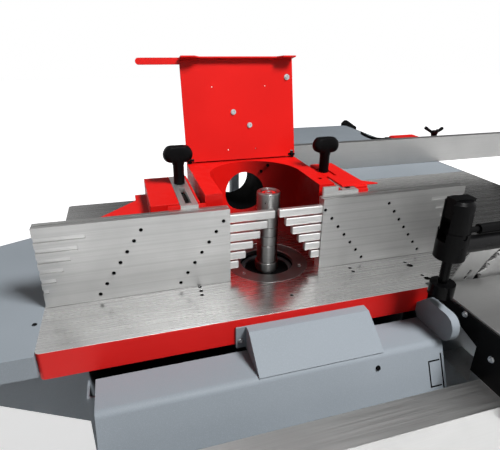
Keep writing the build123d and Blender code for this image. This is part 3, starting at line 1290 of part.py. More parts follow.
def all_nodes():
    nodes = {
        "cabinet": cabinet(),
        "main_table": main_table(),
        "table_insert_ring": table_insert_ring(),
        "ledge_cover": ledge_cover(),
        "wedge_cover": wedge_cover(),
        "end_bracket": end_bracket(),
        "left_extension": left_extension(),
        "rear_extension": rear_extension(),
        "hood_shell": hood_shell(),
        "extraction_spigot": extraction_spigot(),
        "lid": lid(),
        "left_carrier": left_carrier(),
        "right_carrier": right_carrier(),
        "left_fence_bar": fence_bar(-1),
        "right_fence_bar": right_fence_bar(),
        "left_knob": knob(-1),
        "right_knob": knob(1),
        "left_fence_plate": fence_plate(-1),
        "right_fence_plate": fence_plate(1),
        "quill_guide": quill_guide(),
        "quill": quill(),
        "spindle_shaft": spindle_shaft(),
        "spindle_motor": spindle_motor(),
        "motor_pulley": motor_pulley(),
        "drive_belt": drive_belt(),
        "spindle_handwheel": handwheel(0),
        "saw_bracket": saw_bracket(),
        "saw_arm": saw_arm(),
        "saw_motor": saw_motor(),
        "saw_arbor": saw_arbor(),
        "saw_blade": saw_blade(),
        "riving_knife": riving_knife(),
        "saw_handwheel": handwheel(SAW_X),
        "slide_beam": slide_beam(),
        "sliding_table": sliding_table(),
        "slide_end_caps": slide_end_caps(),
        "clamp_post": clamp_post(),
        "clamp_plunger": clamp_plunger(),
        "clamp_lever": clamp_lever(),
        "rip_rail": rip_rail(),
        "rip_fence_plate": rip_fence_plate(),
        "rip_fence_head": rip_fence_head(),
        "rip_fence_knob": rip_fence_knob(),
        "rip_fence_handle": rip_fence_handle(),
    }
    for name, side in (("left", -1), ("right", 1)):
        for row in range(FINGER_COUNT):
            nodes[f"{name}_finger_{row + 1}"] = finger(side, row)
    return nodes


os.makedirs("parts", exist_ok=True)
for name, pieces in all_nodes().items():
    pieces = pieces if isinstance(pieces, list) else [pieces]
    solids = [solid for piece in pieces for solid in piece.solids()]
    export_step(Compound(solids), f"parts/{name}.step")
    print(name, len(solids), "solids", round(sum(solid.volume for solid in solids) / 1000), "cm3")
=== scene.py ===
# %% [markdown]
# # A combined saw and spindle moulder
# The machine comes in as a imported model: one mesh for each piece, each tied to the body it moves with. This
# lesson gives every piece its real edges, fittings and finish. Nothing is moved: a better mesh takes the
# place of a plain one exactly where it stands, so the joints keep working.

# %% Load the frame
import json
import math
import bmesh
import bpy
from mathutils import Matrix, Vector


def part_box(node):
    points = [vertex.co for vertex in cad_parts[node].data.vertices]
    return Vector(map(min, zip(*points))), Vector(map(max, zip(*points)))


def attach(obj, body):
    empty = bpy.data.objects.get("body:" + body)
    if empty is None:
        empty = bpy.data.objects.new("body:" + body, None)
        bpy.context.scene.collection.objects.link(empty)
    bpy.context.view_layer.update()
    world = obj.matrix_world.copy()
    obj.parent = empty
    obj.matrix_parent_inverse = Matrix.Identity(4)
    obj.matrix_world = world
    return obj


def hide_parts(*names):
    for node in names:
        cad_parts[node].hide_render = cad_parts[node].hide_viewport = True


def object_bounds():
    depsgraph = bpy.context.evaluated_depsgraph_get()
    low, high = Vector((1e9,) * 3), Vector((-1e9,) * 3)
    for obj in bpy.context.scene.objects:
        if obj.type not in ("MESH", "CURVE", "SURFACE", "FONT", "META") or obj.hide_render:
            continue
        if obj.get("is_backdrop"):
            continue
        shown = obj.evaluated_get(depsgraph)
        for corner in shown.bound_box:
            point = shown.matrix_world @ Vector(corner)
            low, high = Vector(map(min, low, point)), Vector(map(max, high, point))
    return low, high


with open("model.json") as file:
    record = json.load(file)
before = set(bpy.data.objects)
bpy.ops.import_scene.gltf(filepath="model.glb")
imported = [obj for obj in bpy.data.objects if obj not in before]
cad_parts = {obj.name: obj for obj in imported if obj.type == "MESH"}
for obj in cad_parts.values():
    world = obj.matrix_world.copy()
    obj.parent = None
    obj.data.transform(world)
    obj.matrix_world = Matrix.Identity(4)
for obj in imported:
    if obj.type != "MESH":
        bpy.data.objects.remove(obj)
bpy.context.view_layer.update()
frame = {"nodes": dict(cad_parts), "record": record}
nodes = frame["nodes"]
record = frame["record"]
body_of = {node: body for body, members in record["behaviour"]["bodies"].items() for node in members}
scene = bpy.context.scene

# %% [markdown]
# ## The camera
# The photograph was taken standing in front of the left table, looking down at the spindle. The place and
# the three turns below were worked out from the straight edges of the table and the fences, so the camera
# is set from numbers instead of being aimed by hand.


# %% Camera
def placed(name, data):
    """A new object of the scene, at the origin."""
    obj = bpy.data.objects.new(name, data)
    scene.collection.objects.link(obj)
    return obj


CAMERA_PLACE = Vector((-0.26602, -0.74583, 1.31494))
CAMERA_YAW, CAMERA_PITCH, CAMERA_ROLL = (math.radians(a) for a in (17.03, 23.8, 0.72))

ahead = Vector((math.sin(CAMERA_YAW), math.cos(CAMERA_YAW), 0))
across = Vector((math.cos(CAMERA_YAW), -math.sin(CAMERA_YAW), 0))
upward = Vector((0, 0, 1))
look = ahead * math.cos(CAMERA_PITCH) - upward * math.sin(CAMERA_PITCH)
rise = ahead * math.sin(CAMERA_PITCH) + upward * math.cos(CAMERA_PITCH)
side = across * math.cos(CAMERA_ROLL) + rise * math.sin(CAMERA_ROLL)
top = rise * math.cos(CAMERA_ROLL) - across * math.sin(CAMERA_ROLL)

lens = bpy.data.cameras.new("photo_camera")
lens.sensor_fit = "HORIZONTAL"
lens.sensor_width = 36.0
lens.lens = 30.64
lens.shift_y = -0.003
camera = placed("photo_camera", lens)
camera.matrix_world = Matrix.Translation(CAMERA_PLACE) @ Matrix((side, top, -look)).transposed().to_4x4()
bpy.context.scene.camera = camera
print("camera looks along", [round(v, 3) for v in look])

# %% [markdown]
# ## The studio
# A pale floor, a white surround and four soft lamps. The key lamp, high in front and to the right, lights
# the machine but is not mirrored in it. The sheen lamp beside it only gleams on gloss and metal. A weak
# lamp on the left and one behind lift the shadows. The surround is white for the camera and dim as a light,
# so paint shows the colour it was given. In reflections it falls off towards the far right corner, which
# gives the ground table its run from bright to dark.


# %% Wiring helper
def add_node(tree, kind, wires=None, **settings):
    """A node of a tree. Settings are its options; wires are its inputs, each a socket to link or a value."""
    made = tree.nodes.new(kind)
    for key, value in settings.items():
        setattr(made, key, value)
    for key, value in (wires or {}).items():
        if isinstance(value, bpy.types.NodeSocket):
            tree.links.new(value, made.inputs[key])
        else:
            made.inputs[key].default_value = value
    return made.outputs


def reckon(tree, operation, first, second):
    return add_node(tree, "ShaderNodeMath", {0: first, 1: second}, operation=operation)[0]


print("wiring helper ready")

# %% Surround
scene.view_settings.view_transform = "Standard"
SURROUND_LIGHT = 0.05
DARK_CORNER = Vector((0.45, 0.84, 0.31)).normalized()
DARK_CORNER_LEVEL = 0.05

surround = bpy.data.worlds.new("white_surround")
surround.use_nodes = True
sky = surround.node_tree
background = sky.nodes["Background"]
background.inputs["Color"].default_value = (1, 1, 1, 1)
rays = add_node(sky, "ShaderNodeLightPath")
outwards = add_node(sky, "ShaderNodeTexCoord")["Generated"]
wires = {0: outwards, 1: DARK_CORNER}
towards = add_node(sky, "ShaderNodeVectorMath", wires, operation="DOT_PRODUCT")["Value"]
wires = {"Value": towards, "From Min": 0.58, "From Max": 0.95, "To Min": 1.0, "To Max": DARK_CORNER_LEVEL}
falloff = add_node(sky, "ShaderNodeMapRange", wires, interpolation_type="SMOOTHSTEP")["Result"]
wires = {0: rays["Is Glossy Ray"], 2: SURROUND_LIGHT, 3: falloff}
mirrored = add_node(sky, "ShaderNodeMix", wires)[0]
direct = reckon(sky, "MAXIMUM", rays["Is Camera Ray"], rays["Is Transmission Ray"])
sky.links.new(reckon(sky, "MAXIMUM", direct, mirrored), background.inputs["Strength"])
scene.world = surround
print("surround nodes:", len(sky.nodes))

# %% Floor
FLOOR_HALF = 14.0
floor_mesh = bpy.data.meshes.new("studio_floor")
floor_mesh.from_pydata([(x, y, 0) for x, y in ((-1, -1), (1, -1), (1, 1), (-1, 1))], [], [(0, 1, 2, 3)])
floor_mesh.transform(Matrix.Scale(FLOOR_HALF, 4))
floor = placed("studio_floor", floor_mesh)
floor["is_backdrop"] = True
print("floor is", 2 * FLOOR_HALF, "m wide")

# %% Lamps
SPINDLE_HEAD = Vector((0.1, 0.1, 0.95))


def lamp(name, place, power, width, **seen):
    """A square soft lamp at a place, turned to the spindle."""
    data = bpy.data.lights.new(name, "AREA")
    data.energy = power
    data.size = width
    lit = placed(name, data)
    lit.location = place
    lit.rotation_euler = (SPINDLE_HEAD - Vector(place)).to_track_quat("-Z", "Y").to_euler()
    for key, value in seen.items():
        setattr(lit, key, value)


lamp("key_lamp", (1.6, -1.8, 4.2), 300, 1.2, visible_glossy=False)
lamp("sheen_lamp", (0.3, -1.95, 4.3), 95, 1.0, visible_diffuse=False)
lamp("left_lamp", (-3.6, -2.2, 2.6), 5, 2.4)
lamp("back_lamp", (1.5, 4.5, 3.4), 34, 2.4, visible_glossy=False)
print("lamps:", len(bpy.data.lights))

# %% [markdown]
# ## How a finish is made
# Each finish is one shader fed by a few noises in object coordinates, so the grain has its real size in
# millimetres and stays on the piece when it moves. A small class keeps the wiring short.


# %% Finish helper
class Finish:
    """One shader with short ways to make grain, colour and relief for it."""

    def __init__(self, name, colour, metallic=0.0, roughness=0.5):
        self.material = bpy.data.materials.new(name)
        self.material.use_nodes = True
        self.tree = self.material.node_tree
        self.shader = self.tree.nodes["Principled BSDF"]
        self.hold("Base Color", (*colour, 1))
        self.hold("Metallic", metallic)
        self.hold("Roughness", roughness)
        self.place = self.add("ShaderNodeTexCoord")["Object"]

    def add(self, kind, wires=None, **settings):
        return add_node(self.tree, kind, wires, **settings)

    def hold(self, key, value):
        """Sets one of the shader's own values."""
        self.shader.inputs[key].default_value = value

    def feed(self, key, output):
        """Links an output to one of the shader's inputs."""
        self.tree.links.new(output, self.shader.inputs[key])

    def noise(self, scale, detail=3.0, stretch=None):
        place = self.place
        if stretch:
            place = self.add("ShaderNodeMapping", {"Vector": place, "Scale": stretch})["Vector"]
        return self.add("ShaderNodeTexNoise", {"Vector": place, "Scale": scale, "Detail": detail})["Fac"]

    def spread(self, value, low, high, start=0.3, end=0.7):
        wires = {"Value": value, "From Min": start, "From Max": end, "To Min": low, "To Max": high}
        return self.add("ShaderNodeMapRange", wires)["Result"]

    def between(self, value, first, second):
        """A mix of two colours, each three numbers or an output."""
        first, second = ((*c, 1) if isinstance(c, tuple) else c for c in (first, second))
        return self.add("ShaderNodeMix", {0: value, 6: first, 7: second}, data_type="RGBA")[2]

    def dressed(self, colour, height, depth, rough=None):
        """The material with its colour, a relief of a depth in metres, and roughness where that varies."""
        bump = self.add("ShaderNodeBump", {"Height": height, "Distance": depth, "Strength": 1.0})
        self.feed("Base Color", colour)
        self.feed("Normal", bump["Normal"])
        if rough:
            self.feed("Roughness", rough)
        return self.material


print("finish helper ready")

# %% [markdown]
# ## Paints
# The red is a smooth gloss paint with a faint orange-peel ripple and slow changes of tone. Inside the hood,
# low down and to the right, shade is painted into it: the red turns dark there. The grey is a structured
# powder coat: fine grains that sparkle a little, over a colder blue-grey. The floor is a pale matt screed; it
# keeps the shadow near the machine and turns white further off.


# %% Paint finishes
def red_gloss(name, painted_shade=None):
    """Gloss paint; painted_shade holds, for an axis, the two places in metres between which the red darkens
    into painted shade.
    """
    f = Finish(name, (0.56, 0.007, 0.005), roughness=0.4)
    f.hold("IOR", 1.3)
    colour = f.between(f.spread(f.noise(5.0, 2.0), 0.0, 1.0), (0.52, 0.006, 0.0045), (0.6, 0.008, 0.006))
    if painted_shade:
        where = f.add("ShaderNodeSeparateXYZ", {"Vector": f.place})
        # Painted shade: along each given axis the red darkens into the dark red below.
        for axis, (no_shade, full_shade) in painted_shade.items():
            share = f.spread(where[axis], 0.0, 1.0, no_shade, full_shade)
            colour = f.between(share, colour, (0.17, 0.003, 0.0025))
    f.hold("Coat Weight", 0.03)
    f.hold("Coat Roughness", 0.12)
    return f.dressed(colour, f.noise(420.0, 2.0), 9e-5, f.spread(f.noise(60.0), 0.36, 0.5))


def grey_powder(name, dark, light):
    f = Finish(name, light, roughness=0.5)
    f.hold("Specular IOR Level", 0.25)
    speck = f.noise(900.0, 2.0)
    base = f.between(f.spread(f.noise(4.0, 2.0), 0.0, 1.0), dark, light)
    pale = tuple(min(1.0, c * 1.18) for c in light)
    colour = f.between(f.spread(speck, 0.0, 0.75, 0.5, 0.72), base, pale)
    return f.dressed(colour, f.noise(650.0, 2.0), 1.6e-4, f.spread(speck, 0.36, 0.6))


def matt_screed():
    f = Finish("pale_screed", (0.9, 0.9, 0.9), roughness=0.8)
    colour = f.between(f.spread(f.noise(3.0), 0.0, 1.0), (0.89, 0.89, 0.89), (0.93, 0.93, 0.93))
    distance = f.add("ShaderNodeVectorMath", {0: f.place}, operation="LENGTH")["Value"]
    path = f.add("ShaderNodeLightPath")
    direct = reckon(f.tree, "MAXIMUM", path["Is Camera Ray"], path["Is Transmission Ray"])
    glow = reckon(f.tree, "MULTIPLY", direct, f.spread(distance, 0.6, 1.0, 2.2, 5.0))
    mirror = f.spread(path["Is Glossy Ray"], 0.0, 0.4, 0.0, 1.0)
    f.hold("Emission Color", (1, 1, 1, 1))
    f.feed("Emission Strength", reckon(f.tree, "MAXIMUM", glow, mirror))
    return f.dressed(colour, f.noise(120.0), 2e-4)


RED = red_gloss("red_gloss_paint")
# Red for the hood's mouth, with painted shade: darker towards the right and low down.
RED_PAINTED_SHADE = red_gloss("red_paint_with_painted_shade", {"X": (-0.02, 0.05), "Z": (0.945, 0.9)})
GREY = grey_powder("grey_powder_paint", (0.185, 0.21, 0.233), (0.207, 0.232, 0.257))
MOTOR_GREY = grey_powder("motor_paint", (0.042, 0.05, 0.057), (0.065, 0.076, 0.084))
floor_mesh.materials.append(matt_screed())
print("paints:", RED.name, GREY.name, MOTOR_GREY.name)

# %% [markdown]
# ## Metals and plastics
# Bare metal shows how it was cut. A ground table has long fine scratches in one direction, an extruded bar
# has lines along its length, a turned shaft has rings. Each is a noise stretched along the cut. The turned
# shaft also draws its highlight out along the axis, so its shader is anisotropic. The saw's plates are
# blasted and scatter more light than they mirror. Black plastic and cast iron have a fine even grain
# instead.


# %% Metal finishes
def cut_metal(name, dark, light, along, rough, depth=8e-6, shade_lines=None, bare=1.0):
    """Bare metal with cutting marks; along holds the stretch of the marks on each axis.

    Shade lines are a pitch and a first height, in metres, of faint darker lines one above the other: painted
    shade at the row edges.
    Bare is how far the surface mirrors; a blasted plate scatters most of its light.
    """
    f = Finish(name, light, metallic=bare, roughness=sum(rough) / 2)
    marks = f.noise(1.0, 2.0, along)
    worn = f.between(f.spread(f.noise(9.0), 0.0, 1.0, 0.35, 0.75), light, dark)
    shade = tuple(c * 0.86 for c in dark)
    tone = f.between(f.spread(marks, 0.55, 0.0, 0.25, 0.6), worn, shade)
    # Painted shade: faint darker lines along the row edges of the plate.
    if shade_lines:
        pitch, first = shade_lines
        turn = 2 * math.pi / pitch
        wires = {"Vector": f.place, "Scale": turn / 20, "Phase Offset": math.pi - turn * first}
        wave = f.add("ShaderNodeTexWave", wires, bands_direction="Z")["Fac"]
        tone = f.between(f.spread(wave, 0.0, 0.3, 0.84, 0.97), tone, shade)
    return f.dressed(tone, marks, depth, f.spread(marks, *rough))


def ringed_metal():
    """Metal faced on a lathe: fine rings round the spindle's axis."""
    f = Finish("faced_ring", (0.5, 0.5, 0.495), metallic=1.0, roughness=0.3)
    wires = {"Vector": f.place, "Scale": 170.0, "Distortion": 1.5, "Detail": 2.0}
    rings = f.add("ShaderNodeTexWave", wires, wave_type="RINGS", rings_direction="Z")["Fac"]
    colour = f.between(f.spread(rings, 0.0, 1.0, 0.1, 0.9), (0.2, 0.2, 0.2), (0.27, 0.27, 0.265))
    return f.dressed(colour, rings, 1.2e-5, f.spread(f.noise(30.0), 0.32, 0.44))


def moulded_plastic(name, colour, rough, gloss=0.06):
    f = Finish(name, colour, roughness=rough)
    f.hold("Specular IOR Level", gloss)
    wear = f.noise(35.0)
    lighter = tuple(c * 1.6 + 0.001 for c in colour)
    worn = f.between(f.spread(wear, 0.0, 0.6, 0.45, 0.8), colour, lighter)
    return f.dressed(worn, f.noise(1500.0, 2.0), 6e-5, f.spread(wear, rough - 0.08, rough + 0.1))


def cast_skin(name, dark, light):
    f = Finish(name, light, metallic=0.55, roughness=0.6)
    colour = f.between(f.spread(f.noise(14.0), 0.0, 1.0), dark, light)
    return f.dressed(colour, f.noise(260.0, 4.0), 4e-4, f.spread(f.noise(120.0), 0.5, 0.72))


print("ways to finish metal and plastic ready")

# %% The machine's metals and plastics
DRAWN = (6, 600, 600)
GROUND = cut_metal("ground_table", (0.6, 0.6, 0.595), (0.68, 0.68, 0.675), (4, 500, 4), (0.22, 0.3), 4e-6)
RINGED = ringed_metal()
ALUMINIUM = cut_metal("drawn_aluminium", (0.45, 0.45, 0.446), (0.49, 0.49, 0.485), DRAWN, (0.38, 0.5))
# The plate carries painted shade lines at its row edges.
PLATE = cut_metal("drawn_plate", (0.42, 0.42, 0.416), (0.51, 0.51, 0.505), DRAWN, (0.38, 0.5),
                  shade_lines=(0.01925, 0.92142))
MILLED = cut_metal("milled_aluminium", (0.55, 0.55, 0.545), (0.63, 0.63, 0.625), DRAWN, (0.42, 0.52))
STEEL_X = cut_metal("drawn_steel", (0.3, 0.3, 0.3), (0.42, 0.42, 0.415), (8, 700, 700), (0.28, 0.4))
STEEL_Y = cut_metal("planed_steel", (0.52, 0.52, 0.515), (0.64, 0.64, 0.635), (700, 8, 700), (0.46, 0.58))
TURNED = cut_metal("turned_steel", (0.2, 0.2, 0.198), (0.27, 0.27, 0.266), (15, 15, 900), (0.36, 0.42), 1e-6)
turned_shader = TURNED.node_tree.nodes["Principled BSDF"]
turned_shader.inputs["Anisotropic"].default_value = 0.95
turned_shader.inputs["Anisotropic Rotation"].default_value = 0.25
BLADE = cut_metal("blade_steel", (0.56, 0.56, 0.555), (0.66, 0.66, 0.655), (120, 20, 120), (0.4, 0.5), 3e-6,
                  bare=0.4)
KNIFE = cut_metal("knife_steel", (0.42, 0.42, 0.416), (0.48, 0.48, 0.475), (60, 20, 12), (0.44, 0.54), 3e-6,
                  bare=0.35)
ZINC = cut_metal("zinc_plate", (0.46, 0.47, 0.48), (0.62, 0.63, 0.64), (120, 120, 120), (0.2, 0.36))
BLACK = moulded_plastic("black_plastic", (0.0022, 0.0022, 0.0024), 0.34)
RUBBER = moulded_plastic("belt_rubber", (0.008, 0.008, 0.008), 0.7)
# Black oxide; the same black is painted shade in the table's small holes.
OXIDE_AND_SHADE = moulded_plastic("black_oxide_and_painted_shade", (0.0018, 0.0018, 0.002), 0.2)
BLUED = moulded_plastic("blued_steel", (0.003, 0.003, 0.0033), 0.34, 0.2)
# Black duct plastic; the same black is painted shade in hollows and openings.
DUCT_BLACK_AND_SHADE = moulded_plastic("duct_black_and_painted_shade", (0.002, 0.002, 0.0022), 0.75, 0.02)
IRON = cast_skin("cast_iron", (0.045, 0.05, 0.055), (0.085, 0.09, 0.095))
CARBIDE = cut_metal("carbide", (0.1, 0.1, 0.1), (0.18, 0.18, 0.18), (300, 300, 300), (0.3, 0.45))
print("finishes:", len(bpy.data.materials))

# %% [markdown]
# ## Real edges on plain pieces
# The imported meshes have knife-sharp edges. No real casting or folded sheet has them, and it is the thin
# bright line on each edge that makes metal look solid. So each piece is copied, its loose triangles are
# joined into clean faces, and a Bevel modifier rounds the edges by their real amount. Solids of one piece
# that only touch are taken apart first, because a bevel tears where more than two faces share an edge. The
# result is kept as a plain mesh that stands for the node.


# %% Clean copies
def part_solids(skin):
    """Takes solids that only touch apart, so that each keeps a closed skin of its own."""
    groups = []
    seen = set()
    for start in skin.faces:
        if start in seen:
            continue
        seen.add(start)
        group = [start]
        for face in group:
            for edge in face.edges:
                beyond = [other for other in edge.link_faces if other not in seen]
                if len(edge.link_faces) == 2:
                    seen.update(beyond)
                    group += beyond
        groups.append(group)
    for group in groups[1:]:
        bmesh.ops.split(skin, geom=group)


def free_copy(node, name):
    """A copy of a node's mesh with its corners joined and its flat faces made whole."""
    mesh = nodes[node].data.copy()
    mesh.name = name
    mesh.materials.clear()
    for stale in ("custom_normal", "sharp_face", "sharp_edge"):
        if stale in mesh.attributes:
            mesh.attributes.remove(mesh.attributes[stale])
    skin = bmesh.new()
    skin.from_mesh(mesh)
    bmesh.ops.remove_doubles(skin, verts=skin.verts, dist=2e-6)
    if any(len(edge.link_faces) > 2 for edge in skin.edges):
        part_solids(skin)
    bmesh.ops.dissolve_limit(skin, angle_limit=math.radians(1.0), verts=skin.verts, edges=skin.edges)
    skin.to_mesh(mesh)
    skin.free()
    return placed(name, mesh)


print("clean copy helper ready")


# %% Rounded edges
def settle(obj):
    """Turns an object with modifiers into a plain mesh."""
    graph = bpy.context.evaluated_depsgraph_get()
    graph.update()
    mesh = bpy.data.meshes.new_from_object(obj.evaluated_get(graph))
    obj.modifiers.clear()
    obj.data = mesh
    mesh.name = obj.name
    return obj


def smooth(obj, angle=35.0):
    """Smooth curves, crisp corners."""
    obj.data.shade_smooth()
    obj.data.set_sharp_from_angle(angle=math.radians(angle))
    return obj


def rounded(obj, width, segments=2):
    """Rounds every sharp edge by a width in metres."""
    edge = obj.modifiers.new("edges", "BEVEL")
    edge.width = width
    edge.segments = segments
    edge.limit_method = "ANGLE"
    edge.angle_limit = math.radians(34)
    edge.use_clamp_overlap = True
    smooth(settle(obj), 60)
    flat = obj.modifiers.new("flat_faces", "WEIGHTED_NORMAL")
    flat.keep_sharp = True
    flat.weight = 100
    return settle(obj)


SHEET_EDGE, CAST_EDGE, BAR_EDGE, BLADE_EDGE = 0.0008, 0.0014, 0.0005, 0.0002
print("edge widths in mm:", [1000 * w for w in (SHEET_EDGE, CAST_EDGE, BAR_EDGE, BLADE_EDGE)])


# %% Paint and place
def stand_in(obj, *replaced, body=None, slot=None):
    """Puts a finished piece on a body, in the place of the nodes it stands for."""
    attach(obj, body or body_of[replaced[0]])
    if replaced:
        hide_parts(*replaced)
    return obj


def painted(obj, *finishes):
    obj.data.materials.clear()
    for finish in finishes:
        obj.data.materials.append(finish)
    return obj


def repaint(obj, finish, test):
    """Gives the faces that pass a test of centre and normal another finish."""
    index = len(obj.data.materials)
    obj.data.materials.append(finish)
    for face in obj.data.polygons:
        if test(face.center, face.normal):
            face.material_index = index
    return obj


def edged(node, finish, width):
    """The usual treatment: copy, round the edges, paint, take the node's place."""
    return stand_in(painted(rounded(free_copy(node, node + "_edged"), width), finish), node)


print("nodes to stand for:", len(body_of))

# %% [markdown]
# ## Round pieces
# A shaft, ring or knob is a profile turned about an axis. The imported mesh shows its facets, so these pieces
# are spun again from their profiles with many more steps. A profile is a list of radius and height in
# millimetres; one that starts and ends on the axis closes by itself, and a ring is closed by joining its
# ends. Blocks and lofted skins are made in the same way, from corners and rings of points.

# %% Turning helper
RIGHT, LEFT, FRONT, BACK, UP = (1, 0, 0), (-1, 0, 0), (0, -1, 0), (0, 1, 0), (0, 0, 1)


def round_turns(count, start=0.0):
    """Equal angles round a circle, in radians."""
    return [start + 2 * math.pi * k / count for k in range(count)]


def kept(skin, name):
    """The plain mesh of a bmesh, which is freed."""
    mesh = bpy.data.meshes.new(name)
    skin.to_mesh(mesh)
    skin.free()
    return mesh


def turned_mesh(profile, axis=UP, place=(0, 0, 0), ring=False, steps=72):
    """A profile spun about an axis through a place in millimetres."""
    skin = bmesh.new()
    line = [skin.verts.new((r / 1000, 0, h / 1000)) for r, h in profile]
    pairs = list(zip(line, line[1:])) + ([(line[-1], line[0])] if ring else [])
    edges = [skin.edges.new(pair) for pair in pairs]
    bmesh.ops.spin(skin, geom=line + edges, axis=UP, cent=(0, 0, 0), angle=2 * math.pi, steps=steps)
    bmesh.ops.remove_doubles(skin, verts=skin.verts, dist=1e-6)
    bmesh.ops.recalc_face_normals(skin, faces=skin.faces)
    mesh = kept(skin, "turned")
    turn = Vector(UP).rotation_difference(Vector(axis)).to_matrix().to_4x4()
    mesh.transform(Matrix.Translation(Vector(place) / 1000) @ turn)
    return mesh


print("turning helper ready")


# %% Blocks and lofted skins
def block_mesh(low, high, edge=1.0, segments=2):
    """A box between two corners in millimetres with rounded edges."""
    skin = bmesh.new()
    bmesh.ops.create_cube(skin, size=1.0)
    size = [(b - a) / 1000 for a, b in zip(low, high)]
    middle = [(a + b) / 2000 for a, b in zip(low, high)]
    bmesh.ops.scale(skin, vec=size, verts=skin.verts)
    bmesh.ops.translate(skin, vec=middle, verts=skin.verts)
    bmesh.ops.bevel(skin, geom=skin.edges, offset=edge / 1000, segments=segments, affect="EDGES", profile=0.5)
    return kept(skin, "block")


def lofted_mesh(rings):
    """A closed skin over stacked rings of points in millimetres, each ring running anticlockwise."""
    skin = bmesh.new()
    loops = [[skin.verts.new(Vector(point) / 1000) for point in ring] for ring in rings]
    for low, high in zip(loops, loops[1:]):
        for i in range(len(low)):
            j = (i + 1) % len(low)
            skin.faces.new((low[i], low[j], high[j], high[i]))
    skin.faces.new(list(reversed(loops[0])))
    skin.faces.new(loops[-1])
    bmesh.ops.recalc_face_normals(skin, faces=skin.faces)
    return kept(skin, "lofted")


print("block and loft helpers ready")


# %% Assembly helper
def assembled(name, *parts):
    """One object from several (mesh, finish) pairs."""
    skin = bmesh.new()
    finishes = []
    for mesh, finish in parts:
        if finish not in finishes:
            finishes.append(finish)
        start = len(skin.faces)
        skin.from_mesh(mesh)
        skin.faces.ensure_lookup_table()
        for face in skin.faces[start:]:
            face.material_index = finishes.index(finish)
    return smooth(painted(placed(name, kept(skin, name)), *finishes))


def corners(node):
    """The lowest and the highest corner of a node, in millimetres."""
    return [corner * 1000 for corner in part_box(node)]


print("lid's corners in mm:", [[round(v) for v in corner] for corner in corners("lid")])

# %% [markdown]
# ## Repeats as node trees
# Screws, louvres, fins and teeth are one small shape many times over, which is what Geometry Nodes are for.
# A tree is built once with named inputs. The points it works on carry two directions each: where the shape
# faces and which way it runs along the surface. The result is turned into a plain mesh before it joins a
# body.


# %% Node tree helper
class Pattern:
    """A Geometry Nodes tree with named inputs, wired by short calls."""

    SOCKETS = {float: "NodeSocketFloat", int: "NodeSocketInt", bpy.types.Material: "NodeSocketMaterial"}

    def __init__(self, name, **inputs):
        self.tree = bpy.data.node_groups.new(name, "GeometryNodeTree")
        sockets = self.tree.interface
        sockets.new_socket("Geometry", in_out="OUTPUT", socket_type="NodeSocketGeometry")
        sockets.new_socket("Geometry", in_out="INPUT", socket_type="NodeSocketGeometry")
        self.keys = {}
        for label, value in inputs.items():
            socket = sockets.new_socket(label, in_out="INPUT", socket_type=self.SOCKETS[type(value)])
            socket.default_value = value
            self.keys[label] = socket.identifier
        self.inside = self.tree.nodes.new("NodeGroupInput").outputs
        self.outside = self.tree.nodes.new("NodeGroupOutput")

    def __getitem__(self, label):
        return self.inside[label]

    def node(self, kind, wires, **settings):
        return add_node(self.tree, kind, wires, **settings)

    def times(self, value, factor):
        return reckon(self.tree, "MULTIPLY", value, factor)

    def lifted(self, mesh, height):
        offset = self.node("ShaderNodeCombineXYZ", {"Z": height})[0]
        return self.node("GeometryNodeTransform", {"Geometry": mesh, "Translation": offset})[0]

    def rod(self, sides, radius, depth):
        wires = {"Vertices": sides, "Radius": radius, "Depth": depth}
        return self.node("GeometryNodeMeshCylinder", wires)["Mesh"]

    def cut(self, mesh, cutter):
        return self.node("GeometryNodeMeshBoolean", {0: mesh, 1: cutter}, operation="DIFFERENCE")[0]

    def on_points(self, shape):
        """The shape on every point, standing on its facing and run along its along, as one real mesh."""
        ways = [self.node("GeometryNodeInputNamedAttribute", {"Name": label}, data_type="FLOAT_VECTOR")[0]
                for label in ("facing", "along")]
        wires = {0: ways[0], 1: ways[1]}
        turn = self.node("FunctionNodeAxesToRotation", wires, primary_axis="Z", secondary_axis="X")[0]
        wires = {"Points": self["Geometry"], "Instance": shape, "Rotation": turn}
        copies = self.node("GeometryNodeInstanceOnPoints", wires)[0]
        real = self.node("GeometryNodeRealizeInstances", {"Geometry": copies})[0]
        done = self.node("GeometryNodeSetMaterial", {"Geometry": real, "Material": self["finish"]})[0]
        self.tree.links.new(done, self.outside.inputs[0])


print("pattern inputs may be:", list(Pattern.SOCKETS.values()))


# %% Points and growth
def spread_points(name, spots, facing, along):
    """Points, in millimetres, that carry the directions a pattern reads: one for all or a list of them."""
    mesh = bpy.data.meshes.new(name)
    mesh.from_pydata([Vector(spot) / 1000 for spot in spots], [], [])
    for label, given in (("facing", facing), ("along", along)):
        held = mesh.attributes.new(label, "FLOAT_VECTOR", "POINT")
        each = given if isinstance(given, list) else [given] * len(spots)
        for value, direction in zip(held.data, each):
            value.vector = direction
    return placed(name, mesh)


def grown(obj, pattern, **values):
    """Runs a pattern on an object and keeps the result as a plain mesh."""
    maker = obj.modifiers.new(pattern.tree.name, "NODES")
    maker.node_group = pattern.tree
    for label, value in values.items():
        maker[pattern.keys[label]] = value
    return smooth(settle(obj))


print("pattern helper ready")

# %% [markdown]
# ## Screws, small blocks and drilled holes
# A screw head here is a short prism with a six-sided recess, on a washer. With six sides it is a bolt head,
# with twenty-four a cap screw. Teeth tips, scale marks and cooling fins are all one small block. The same
# idea with a plain rod makes a set of drill bits, and a Boolean modifier takes them out of a piece, so the
# holes are real.

